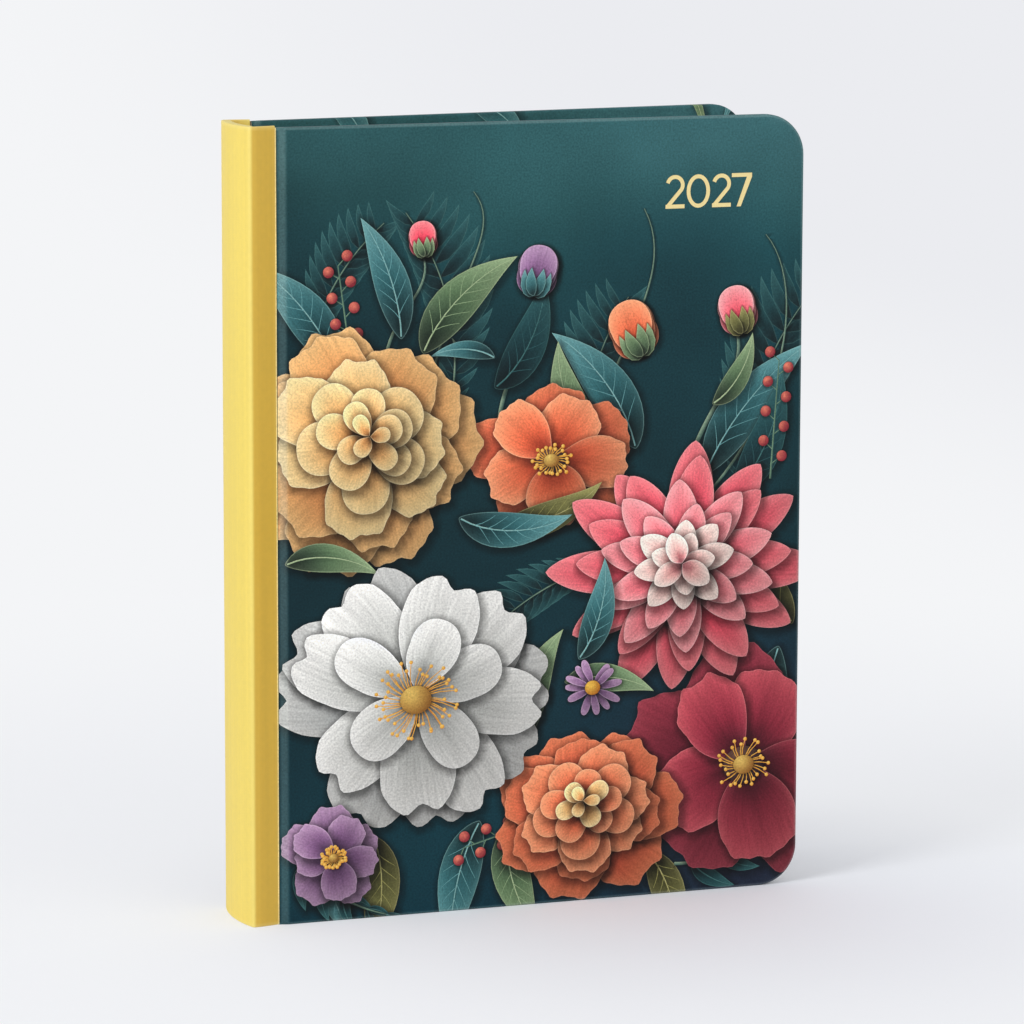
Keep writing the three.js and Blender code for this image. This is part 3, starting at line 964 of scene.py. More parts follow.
@dataclass(kw_only=True)
class Blade(Mark):
    """A petal or leaf in polar form about its base.

    A point with shares u along and v across lies at the radius u L T(v) and at the angle
    heading + bend u + v h(u) / (u L). T(v) = 1 - draw |v|^power - notch exp(-(v/0.2)^2) + ripples,
    where the phase moves the notch and the ripples. The half width h(u) is W/2 sin(pi/2 u^1.08), or
    W/2 sin(pi u^0.8) where a leaf closes at its tip.
    """

    base: Pair
    heading: float
    length: float
    width: float
    tint: Tint
    bend: float = 0.0
    form: Tip = Tip.ROUND
    veins: float = 0.6
    phase: float = 0.0
    steps: int = 11

    def reach(self, v: Array) -> Array:
        """The tip function T."""
        draw, power, notch, ripple = self.form.value
        waves = ripple * (np.cos(3.4 * math.pi * v + self.phase) + 0.6 * np.cos(21 * v + 2 * self.phase))
        notch_at = (v - 0.1 * np.sin(self.phase)) / 0.2
        return 1 - draw * np.abs(v) ** power - notch * np.exp(-(notch_at ** 2)) + waves

    def half(self, u: Array) -> Array:
        """The half width h."""
        u = np.clip(u, 1e-4, 1)
        if self.form is Tip.LEAF:
            return np.maximum(self.width / 2 * np.sin(math.pi * u ** 0.8), 1e-3)
        return self.width / 2 * np.sin(math.pi / 2 * u ** 1.08)

    def at(self, u: Array, v: Array) -> Array:
        """Points of the sheet for shares along and across."""
        radius = u * self.length * self.reach(v)
        angle = self.heading + self.bend * u + v * self.half(u) / np.maximum(u * self.length, 1e-6)
        return np.stack([self.base[0] + radius * np.cos(angle), self.base[1] + radius * np.sin(angle)], -1)

    def shares(self, points: Array) -> tuple[Array, Array]:
        """The shares along and across of points, found by a few rounds of substitution.

        Args:
            points: Rows of x, z.

        Returns:
            The shares u and v.
        """
        gap = points - np.array(self.base)
        radius = np.linalg.norm(gap, axis=1)
        u, v = radius / self.length, np.zeros(len(points))
        for _ in range(5):
            turned = np.arctan2(gap[:, 1], gap[:, 0]) - self.heading - self.bend * u
            turned = (turned + math.pi) % (2 * math.pi) - math.pi
            v = np.clip(turned * u * self.length / self.half(u), -1.2, 1.2)
            u = np.clip(radius / (self.length * self.reach(v)), 0, 1.1)
        return u, v

    def outline(self) -> Array:
        """One side from the base, the tip across, and the other side back."""
        side = np.ones(self.steps)
        rise = np.linspace(0.03, 1, self.steps) ** 0.9
        across = np.linspace(1, -1, 2 * self.steps + (9 if self.form is Tip.RUFFLED else 1))[1:-1]
        if self.form is Tip.LEAF:
            rise = 0.5 - 0.496 * np.cos(np.linspace(0, math.pi, self.steps))
            across = np.zeros(1)
        u = np.concatenate([rise, np.ones(len(across)), rise[::-1]])
        return self.at(u, np.concatenate([side, across, -side]))

    def ink(self, points: Array) -> Ink:
        """A run of colour from base to tip, deeper near the base and on the side away from the light."""
        u, v = self.shares(points)
        colour = blend_colours([self.tint.base, self.tint.middle, self.tint.tip], [0.08, 0.5, 0.95], u)
        away = np.cos(self.heading + math.pi / 2 - LIGHT_FROM) * v
        fold = 0.1 * np.exp(-((v / 0.16) ** 2)) * np.clip(1.3 - u, 0, 1)
        shade = self.light * (1 - 0.42 * np.exp(-((u / 0.3) ** 2)) + 0.1 * away - fold)
        uv = np.stack([u + self.phase, v], -1)
        return colour * shade[:, None], np.full(len(u), self.veins), uv


@dataclass(kw_only=True)
class Disc(Mark):
    """A round or oval spot, lit from the upper left."""

    centre: Pair
    radius: float
    lit: str
    shaded: str
    squash: float = 1.0
    steps: int = 14

    def outline(self) -> Array:
        """The oval, counter-clockwise."""
        ring = arc((0, 0), self.radius, 0, 360, self.steps)[:-1]
        return ring * np.array([1, self.squash]) + np.array(self.centre)

    def ink(self, points: Array) -> Ink:
        """A soft ball: the colour falls off with the distance from a lit point."""
        gap = (points - np.array(self.centre)) / self.radius
        away = np.linalg.norm(gap - np.array([-0.35, 0.4]), axis=1) / 1.5
        colour = blend_colours([self.lit, self.shaded], [0.1, 0.95], away)
        return colour, np.full(len(points), 0.15), gap


@dataclass(kw_only=True)
class Stroke(Mark):
    """A stem, vein or stamen: a tapered line along a cubic curve."""

    route: tuple[Pair, Pair, Pair, Pair]
    thick: float
    thin: float
    lit: str = "7E9C7C"
    shaded: str = "2E4E48"
    steps: int = 14

    def centre_line(self) -> Array:
        """Points of the cubic curve with the four control points."""
        t = np.linspace(0, 1, self.steps)[:, None]
        a, b, c, d = (np.array(p, float) for p in self.route)
        return a * (1 - t) ** 3 + 3 * b * t * (1 - t) ** 2 + 3 * c * t ** 2 * (1 - t) + d * t ** 3

    def outline(self) -> Array:
        """The centre line moved to both sides by half its width."""
        line = self.centre_line()
        run = np.gradient(line, axis=0)
        normal = unit(np.stack([-run[:, 1], run[:, 0]], -1))
        width = np.linspace(self.thick, self.thin, self.steps)[:, None] / 2
        return np.concatenate([line - width * normal, (line + width * normal)[::-1]])

    def ink(self, points: Array) -> Ink:
        """Lit along one side of the line and shaded along the other."""
        line = self.centre_line()
        near = np.linalg.norm(points[:, None] - line, axis=-1).argmin(1)
        run = np.gradient(line, axis=0)[near]
        gap = points - line[near]
        side = (run[:, 0] * gap[:, 1] - run[:, 1] * gap[:, 0]) / np.maximum(np.linalg.norm(run, axis=1), 1e-9)
        share = 0.5 + side / max(self.thick, 0.3)
        colour = blend_colours([self.shaded, self.lit], [0.1, 0.9], share)
        return colour, np.full(len(points), 0.1), np.stack([share, share], -1)


@dataclass(kw_only=True)
class Band(Mark):
    """A straight strip of one colour along the sheet's height."""

    left: float
    right: float
    colour: str

    def outline(self) -> Array:
        """The strip over the outer face, from tail to head."""
        z = np.linspace(-0.4, PLACE.height + 0.4, 80)[:, None]
        right, left = (np.hstack([np.full_like(z, x), z]) for x in (self.right, self.left))
        return np.concatenate([right, left[::-1]])

    def ink(self, points: Array) -> Ink:
        """The colour, with a slow change along the strip."""
        wave = 1 + 0.03 * np.sin(points[:, 1] / 9) + 0.02 * np.sin(points[:, 1] / 2.3)
        return rgb(self.colour) * wave[:, None], np.zeros(len(points)), points / 10


WHITE = Tint("8F918B", "CFCFC8", "F1EFE8", "FBFAF5")
WHITE_DEEP = Tint("7D8282", "B8BAB6", "DEDDD7", "EFEEE8")
PINK = Tint("D8253C", "F9606F", "FF9C9E", "FFD9D4")
PINK_DEEP = Tint("B81A34", "EE3F56", "FB7C82", "FFC2BE")
BLUSH = Tint("EE6A74", "FBB5AC", "FFE6D8", "FFF4EA")
CORAL = Tint("B5321F", "EC6A45", "F99A6C", "FFC9A0")
CORAL_DEEP = Tint("862219", "C94A34", "E97A52", "F4AC86")
PEACH = Tint("D0742E", "F7B269", "FFDD9A", "FFF0C8")
PEACH_DEEP = Tint("B55526", "EC9150", "FCC27C", "FEDCA8")
WINE = Tint("4A1522", "8E2B3B", "BC4B55", "DD8684")
WINE_DEEP = Tint("301019", "661D2C", "953643", "B9636A")
PLUM = Tint("472C4C", "7F5880", "B28CAE", "D1B6CC")
TEAL = Tint("163438", "33666A", "64999A", "96BFB8")
SAGE = Tint("2B3D30", "5B7653", "8FA67C", "BDCB9F")
DARK = Tint("12242A", "1B3E42", "2E585A", "4C7A76")
OLIVE = Tint("35341C", "66653A", "949054", "BDB67F")


@dataclass(frozen=True)
class Ring:
    """One ring of petals in a blossom.

    Lengths and widths are shares of the blossom's radius, tint is the place of its colours in the
    blossom's list, start is the first petal's angle in degrees, and sway is the most that chance
    turns a petal, in radians.
    """

    count: int
    length: float
    width: float
    form: Tip
    tint: int
    start: float
    light: float = 1.0
    sway: float = 0.12
    cast: float = 2.4


@dataclass(frozen=True)
class Bloom:
    """A kind of blossom: its rings, outer first, and what its middle has.

    The lift moves each ring's middle against the slant, as a share of the radius. The eye's radius
    and the stamens' reach are shares of it too.
    """

    rings: tuple[Ring, ...]
    lift: float = 0.0
    eye: float = 0.0
    eye_colours: tuple[str, str] = ("6A4A3C", "23161C")
    eye_cast: float = 1.2
    eye_steps: int = 22
    stamens: int = 0
    stamen_reach: float = 0.0


COSMOS = Bloom(
    (
        Ring(8, 1.0, 0.86, Tip.NOTCHED, 1, 8, 0.9),
        Ring(8, 0.92, 0.78, Tip.NOTCHED, 0, 30, 1.0),
        Ring(5, 0.6, 0.56, Tip.ROUND, 0, 12, 1.02),
    ),
    lift=0.02, stamens=46, stamen_reach=0.3,
)
DAHLIA = Bloom(
    tuple(
        Ring(12 - i, share, 0.24 + 0.42 * share, Tip.POINTED, i // 2, 13.0 * i, 0.95 + 0.02 * i, 0.05, 2.6)
        for i, share in enumerate((1.0, 0.85, 0.69, 0.53, 0.38, 0.25))
    ),
    lift=0.012,
)
ROSE = Bloom(
    tuple(
        Ring(count, share, 1.14 * share, form, tint, 41 * i, 0.94 + 0.02 * i, 0.2, 2.6)
        for i, (count, share, form, tint) in enumerate((
            (7, 1.0, Tip.RUFFLED, 0),
            (6, 0.86, Tip.RUFFLED, 0),
            (6, 0.71, Tip.RUFFLED, 1),
            (5, 0.56, Tip.ROUND, 1),
            (5, 0.42, Tip.ROUND, 1),
            (4, 0.29, Tip.ROUND, 2),
            (3, 0.18, Tip.ROUND, 2),
        ))
    ),
    lift=0.02,
)
POPPY = Bloom(
    (Ring(5, 1.0, 1.22, Tip.RUFFLED, 1, 20, 0.96), Ring(5, 0.84, 1.02, Tip.RUFFLED, 0, 58, 1.0)),
    lift=0.03, eye=0.17, stamens=26, stamen_reach=0.24,
)
DAISY = Bloom(
    (Ring(12, 1.0, 0.4, Tip.ROUND, 0, 5, 1.0, 0.06, 1.0),),
    eye=0.26, eye_colours=("F3C553", "A8641F"), eye_cast=0.6, eye_steps=14,
)


@dataclass(frozen=True)
class Stalk:
    """A curved stalk: its direction turns evenly by curl from its base to its end, in radians."""

    base: Pair
    heading: float
    length: float
    curl: float

    def spot(self, share: float) -> tuple[Pair, float]:
        """The point at a share of the length, and the direction there."""
        at = self.heading + self.curl * share
        return beyond(self.base, at, self.length * share), at

    def spots(self) -> Array:
        """Four points at even shares of the length."""
        share = np.linspace(0, 1, 4)
        angle = self.heading + self.curl * share
        run = self.length * share[:, None] * np.stack([np.cos(angle), np.sin(angle)], -1)
        return np.array(self.base) + run


def beyond(spot: Pair, angle: float, by: float, flat: float = 1.0) -> Pair:
    """The point at an angle and a distance from a spot, with its rise flattened."""
    return spot[0] + by * math.cos(angle), spot[1] + by * flat * math.sin(angle)


class Garden:
    """Draws the blossoms, leaves and stems of one cover's print, back to front."""

    VEINED_LENGTH = 26

    def __init__(self, seed: int) -> None:
        """Starts an empty sheet with its own seeded draws."""
        self.marks: list[Mark] = []
        self.chance = np.random.default_rng(seed)

    def draw(self, low: float, high: float) -> float:
        """One number drawn by chance between two others."""
        return float(self.chance.uniform(low, high))

    def petal(self, **values: object) -> None:
        """Adds one petal or leaf with its rim, and a phase drawn by chance."""
        tint = values["tint"]
        self.marks.append(Blade(rim=tint.rim, phase=self.draw(0, 40), **values))

    def line(self, route: tuple, thick: float, thin: float, **values: object) -> None:
        """Adds a line along four control points, from its thick end to its thin one."""
        self.marks.append(Stroke(route=route, thick=thick, thin=thin, **values))

    def dot(self, centre: Pair, radius: float, lit: str, shaded: str, **values: object) -> None:
        """Adds a round spot of two colours."""
        self.marks.append(Disc(centre=centre, radius=radius, lit=lit, shaded=shaded, **values))

    def blossom(
        self, kind: Bloom, centre: Pair, radius: float, tints: tuple, tilt: float, flat: float
    ) -> None:
        """Rings of petals about a centre, seen at a slant.

        Args:
            kind: The kind of blossom.
            centre: The middle of the outer ring.
            radius: The reach of a petal of length 1.
            tints: The colours that its rings name.
            tilt: The direction in degrees along which the flower is foreshortened.
            flat: The foreshortening, where 1 is seen from the front.
        """
        axis = math.radians(tilt)
        for number, ring in enumerate(kind.rings):
            middle = beyond(centre, axis, kind.lift * radius * number)
            order = np.arange(ring.count)
            angles = math.radians(ring.start) + 2 * math.pi * order / ring.count
            angles = angles + self.chance.uniform(-ring.sway, ring.sway, ring.count)
            for i in sorted(order, key=lambda i: (i % 2, -math.sin(angles[i] - axis))):
                around = angles[i] - axis
                along = np.array([math.cos(around) * flat, math.sin(around)])
                aside = np.array([-math.sin(around) * flat, math.cos(around)])
                grow = self.draw(0.93, 1.07)
                self.petal(
                    base=middle,
                    heading=math.atan2(along[1], along[0]) + axis,
                    length=ring.length * radius * grow * float(np.linalg.norm(along)),
                    width=ring.width * radius * grow * float(np.linalg.norm(aside)),
                    bend=self.draw(-0.18, 0.18),
                    form=ring.form,
                    tint=tints[ring.tint],
                    light=ring.light * (0.93 + 0.12 * math.cos(angles[i] - LIGHT_FROM)),
                    cast=ring.cast,
                )
        if kind.eye:
            look = dict(squash=flat, cast=kind.eye_cast, steps=kind.eye_steps)
            self.dot(centre, kind.eye * radius, *kind.eye_colours, **look)
        if kind.stamens:
            self.stamens(centre, kind.stamens, kind.stamen_reach * radius, flat)

    def stamens(self, centre: Pair, count: int, reach: float, flat: float) -> None:
        """Golden threads with a bead on each, round a small domed eye.

        Args:
            centre: The blossom's middle.
            count: How many threads it has.
            reach: The longest thread.
            flat: The foreshortening of their heights.
        """
        for angle in np.linspace(0, 2 * math.pi, count, endpoint=False):
            a = angle + self.draw(-0.08, 0.08)
            r = reach * self.draw(0.62, 1.0)
            end, mid = beyond(centre, a, r, flat), beyond(centre, a + 0.2, 0.5 * r, flat)
            self.line((centre, mid, mid, end), 0.4, 0.22, lit="F6C95A", shaded="C9772A", steps=4)
            self.dot(end, 0.55, "FBD873", "D98A2C", steps=7)
        self.dot(centre, 0.36 * reach, "E9C468", "8A5A26", squash=flat, cast=0.8, steps=20)

    def stem(self, route: tuple, thick: float, thin: float, pale: bool = True) -> None:
        """A stem or tendril along four control points, in a pale or a dark green."""
        lit, shaded = ("8FA58A", "35544C") if pale else ("3F6A66", "18343A")
        self.line(route, thick, thin, lit=lit, shaded=shaded, steps=22, cast=0.9, depth=0.35)

    def leaf(self, base: Pair, heading: float, length: float, width: float, bend: float, tint: Tint) -> None:
        """A leaf with its midrib, and side veins where it is long.

        Args:
            base: Where it starts.
            heading: Its direction in degrees.
            length: Its length.
            width: Its width.
            bend: How far it turns over its length, in radians.
            tint: Its colours.
        """
        self.petal(
            base=base, heading=math.radians(heading), length=length, width=width, bend=bend, tint=tint,
            form=Tip.LEAF, cast=2.2, depth=0.4, veins=0.7, steps=20,
        )
        blade = self.marks[-1]
        control = self.through(blade.at(np.array([0.02, 0.33, 0.66, 0.96]), np.zeros(4)))
        self.line(control, 0.42, 0.14, lit=tint.rim, shaded=tint.tip, steps=10)
        if length > self.VEINED_LENGTH:
            for u in np.linspace(0.16, 0.72, 6):
                self.vein(blade, float(u), 1.0, tint.tip)
                self.vein(blade, float(u) + 0.03, -1.0, tint.tip)

    def vein(self, blade: Blade, u: float, side: float, colour: str) -> None:
        """One side vein of a leaf, from its midrib towards its edge."""
        route = self.through(blade.at(np.linspace(u, u + 0.16, 4), np.linspace(0, side * 0.8, 4)))
        self.line(route, 0.2, 0.1, lit=colour, shaded=colour, steps=4)

    @staticmethod
    def through(spots: Array) -> tuple:
        """The control points of a cubic that passes through four points at even shares."""
        p0, p1, p2, p3 = spots
        c1 = (-5 * p0 + 18 * p1 - 9 * p2 + 2 * p3) / 6
        c2 = (2 * p0 - 9 * p1 + 18 * p2 - 5 * p3) / 6
        return tuple(tuple(p) for p in (p0, c1, c2, p3))

    def spray(self, base: Pair, heading: float, length: float, pairs: int, tint: Tint, curl: float) -> None:
        """A curved stem with pairs of leaves that shorten towards its end.

        Args:
            base: Where the stem starts.
            heading: Its direction in degrees.
            length: Its length.
            pairs: The leaf pairs.
            tint: The leaves' colours.
            curl: The stem's turn over its length, in radians.
        """
        stalk = Stalk(base, math.radians(heading), length, curl)
        for i in range(pairs):
            t = (i + 0.6) / (pairs + 0.3)
            spot, at = stalk.spot(t)
            for side in (-1, 1):
                size = length * 0.42 * (1.05 - 0.6 * t)
                way = math.degrees(at) + side * (52 - 16 * t)
                self.leaf(spot, way, size, size * 0.34, -side * 0.35, tint)
        spots = stalk.spots()
        self.stem(self.through(spots), 0.9, 0.3)
        last = math.degrees(stalk.heading + 1.4 * curl)
        self.leaf(tuple(spots[-1]), last, length * 0.24, length * 0.09, 0.1, tint)

    def fern(self, base: Pair, heading: float, length: float, pairs: int, tint: Tint, curl: float) -> None:
        """A frond: narrow leaflets in close pairs along a curved stalk.

        Args:
            base: Where the stalk starts.
            heading: Its direction in degrees.
            length: Its length.
            pairs: The leaflet pairs.
            tint: The leaflets' colours.
            curl: The stalk's turn over its length, in radians.
        """
        stalk = Stalk(base, math.radians(heading), length, curl)
        for i in range(pairs):
            t = (i + 1) / (pairs + 1)
            spot, at = stalk.spot(t)
            for side in (-1, 1):
                size = length * 0.3 * math.sin(math.pi * (0.12 + 0.86 * (1 - t)) ** 0.9)
                self.petal(
                    base=spot, heading=at + side * 1.0, length=size, width=size * 0.24, bend=-side * 0.3,
                    form=Tip.LEAF, tint=tint, veins=0.3, steps=7,
                )
        self.stem(self.through(stalk.spots()), 0.6, 0.2)

    def bud(self, centre: Pair, size: float, heading: float, tint: Tint, sepal: Tint) -> None:
        """A round bud of overlapping petals in a cup of sepals.

        Args:
            centre: Its middle.
            size: Its radius.
            heading: The direction of its tip, in degrees.
            tint: The petals' colours.
            sepal: The sepals' colours.
        """
        a = math.radians(heading)
        foot = beyond(centre, a, -0.92 * size)
        for number, turn_by in enumerate((-0.75, 0.75, -0.28, 0.12)):
            self.petal(
                base=foot, heading=a + turn_by, length=size * (1.9 - 0.2 * abs(turn_by)), width=2.3 * size,
                bend=-0.9 * turn_by, tint=tint, cast=1.8, light=0.86 + 0.06 * number,
            )
        for turn_by in (-1.25, 1.25, -0.5, 0.6):
            self.petal(
                base=foot, heading=a + turn_by, length=1.05 * size, width=0.46 * size, bend=-turn_by * 0.6,
                form=Tip.LEAF, tint=sepal, cast=0.9, steps=8,
            )

    def berries(self, base: Pair, heading: float, length: float, count: int) -> None:
        """A thin stalk with berries on short side stalks.

        Args:
            base: Where the stalk starts.
            heading: Its direction in degrees.
            length: Its length with the last berry.
            count: How many berries it has.
        """
        a = math.radians(heading)
        for i in range(count):
            t = (i + 1) / count
            side = 1 if i % 2 else -1
            root = beyond(base, a, length * t * 0.8)
            spot = beyond(root, a + side * 0.9, 3.6)
            self.line((root, root, spot, spot), 0.35, 0.25, steps=4)
            self.dot(spot, 1.5, "F0876C", "7C2430", cast=0.8)
        end = beyond(base, a, length * 0.8)
        self.line((base, base, end, end), 0.6, 0.3, steps=5)

    def strips(self, *strips: tuple[float, float, str]) -> list[Mark]:
        """Adds straight strips from one x to another in a colour, and gives all the marks."""
        self.marks += [Band(left=left, right=right, colour=colour) for left, right, colour in strips]
        return self.marks


def front_garden() -> list[Mark]:
    """The front cover's print, back to front."""
    g = Garden(20)
    g.fern((8, 146), 84, 44, 14, DARK, -0.4)
    g.fern((46, 130), 72, 58, 15, DARK, 0.5)
    g.fern((130, 106), 92, 62, 16, DARK, -0.4)
    g.fern((86, 112), 100, 52, 15, DARK, -0.4)
    g.stem(((64, 116), (54, 140), (74, 150), (72, 164)), 1.3, 0.8)
    g.stem(((112, 106), (118, 134), (132, 138), (129, 152)), 1.4, 0.8)
    g.stem(((30, 140), (26, 160), (44, 164), (40, 176)), 1.0, 0.5)
    g.stem(((84, 120), (94, 150), (112, 168), (102, 186)), 0.8, 0.25)
    g.stem(((118, 106), (146, 132), (148, 166), (137, 178)), 0.8, 0.2)
    g.stem(((40, 130), (44, 166), (64, 180), (54, 192)), 0.8, 0.2)
    g.leaf((16, 148), 112, 34, 12, 0.3, TEAL)
    g.leaf((40, 150), 66, 36, 12, -0.4, SAGE)
    g.leaf((34, 154), 92, 34, 10, 0.3, TEAL)
    g.leaf((60, 140), 36, 32, 11, 0.5, DARK)
    g.leaf((100, 122), 104, 40, 13, 0.4, TEAL)
    g.leaf((90, 120), 134, 34, 11, -0.4, SAGE)
    g.leaf((120, 114), 66, 46, 13, -0.3, TEAL)
    g.leaf((128, 108), 44, 36, 11, 0.4, DARK)
    g.leaf((146, 72), 120, 34, 11, 0.4, OLIVE)
    g.leaf((142, 66), -110, 34, 11, 0.4, TEAL)
    g.leaf((64, 22), -96, 32, 11, 0.4, SAGE)
    g.leaf((56, 24), -120, 36, 12, 0.3, TEAL)
    g.leaf((104, 12), -50, 30, 10, -0.4, OLIVE)
    g.leaf((14, 24), -100, 30, 10, 0.4, TEAL)
    g.leaf((26, 22), -70, 32, 11, -0.4, OLIVE)
    g.spray((112, 8), -4, 36, 4, DARK, 0.5)
    g.spray((4, 20), -60, 32, 4, DARK, 0.4)
    g.fern((96, 92), 186, 38, 12, DARK, 0.3)
    g.bud((99, 154), 8.4, 112, CORAL, SAGE)
    g.bud((72, 170.5), 7.2, 80, PLUM, TEAL)
    g.bud((129, 158), 7.0, 104, PINK, OLIVE)
    g.bud((40, 180), 5.0, 96, PINK_DEEP, SAGE)
    g.leaf((122, 133), 30, 22, 7, 0.5, SAGE)
    g.berries((20, 150), 98, 30, 7)
    g.berries((139, 112), 86, 40, 8)
    g.berries((70, 22), -165, 24, 6)
    g.leaf((60, 148), 148, 18, 5, 0.5, TEAL)
    g.blossom(POPPY, (132, 34), 35, (WINE, WINE_DEEP), 60, 0.86)
    g.blossom(ROSE, (86, 24), 28, (CORAL_DEEP, CORAL, PEACH), 100, 0.86)
    g.leaf((70, 46), 100, 30, 10, -0.5, SAGE)
    g.blossom(POPPY, (76, 120), 25, (CORAL, CORAL_DEEP), 70, 0.8)
    g.leaf((62, 104), -10, 30, 9, 0.5, OLIVE)
    g.blossom(ROSE, (22, 126), 36, (PEACH_DEEP, PEACH, PEACH), 40, 0.88)
    g.leaf((50, 106), -30, 32, 10, 0.5, TEAL)
    g.leaf((2, 96), 20, 26, 8, -0.5, SAGE)
    g.blossom(DAHLIA, (114, 88), 38, (PINK_DEEP, PINK, BLUSH), 100, 0.9)
    g.leaf((84, 66), 52, 28, 9, 0.4, TEAL)
    g.leaf((80, 60), 14, 26, 8, -0.4, SAGE)
    g.blossom(COSMOS, (38, 58), 41, (WHITE, WHITE_DEEP), 70, 0.86)
    g.blossom(DAISY, (88, 58), 8.5, (PLUM,), 70, 0.9)
    g.blossom(POPPY, (15, 17), 15, (PLUM, PLUM), 60, 0.86)
    # The dark strip beside the seam is a painted shadow next to the paper's cut edge. The pale strip is the cut edge's
    # own colour.
    return g.strips((0.2, 0.36, "2E3A30"), (-1.0, 0.2, "E8D490"))


def back_garden() -> list[Mark]:
    """The back cover's print: the same hand, looser, with more leaves than blossoms."""
    g = Garden(31)
    g.stem(((6, -6), (30, 60), (10, 110), (40, 170)), 1.4, 0.5, False)
    g.stem(((60, 60), (90, 100), (80, 140), (110, 170)), 1.2, 0.4)
    g.leaf((22, 205), 38, 22, 8, 0.3, TEAL)
    g.leaf((62, 207), 20, 24, 8, 0.3, TEAL)
    g.leaf((126, 198), 62, 26, 3, 0.1, SAGE)
    g.leaf((133, 197), 50, 26, 3, 0.1, TEAL)
    g.fern((24, 120), 80, 60, 15, DARK, 0.4)
    g.fern((100, 120), 96, 56, 14, DARK, -0.4)
    g.spray((72, 96), 70, 60, 5, TEAL, 0.5)
    g.spray((16, 60), 100, 50, 4, SAGE, -0.5)
    g.spray((132, 40), 100, 54, 4, DARK, 0.4)
    g.spray((60, 20), -20, 46, 4, TEAL, 0.5)
    g.leaf((36, 44), 160, 34, 10, 0.4, OLIVE)
    g.leaf((96, 60), -40, 40, 12, 0.4, SAGE)
    g.blossom(ROSE, (34, 40), 24, (CORAL_DEEP, CORAL, PEACH), 80, 0.86)
    g.blossom(POPPY, (120, 96), 22, (WINE, WINE_DEEP), 100, 0.82)
    g.blossom(COSMOS, (84, 62), 29, (WHITE, WHITE_DEEP), 110, 0.86)
    g.blossom(DAISY, (52, 88), 9, (PLUM,), 70, 0.9)
    g.blossom(DAISY, (118, 60), 8, (WHITE,), 70, 0.9)
    g.bud((112, 174), 4.6, 60, CORAL, SAGE)
    g.bud((42, 175), 4.4, 76, PLUM, TEAL)
    g.berries((60, 120), 80, 24, 7)
    # The dark strip beside the seam is a painted shadow next to the paper's cut edge. The pale strip is the cut edge's
    # own colour.
    return g.strips((0.2, 0.62, "10282D"), (-1.0, 0.2, "F1E3A4"))


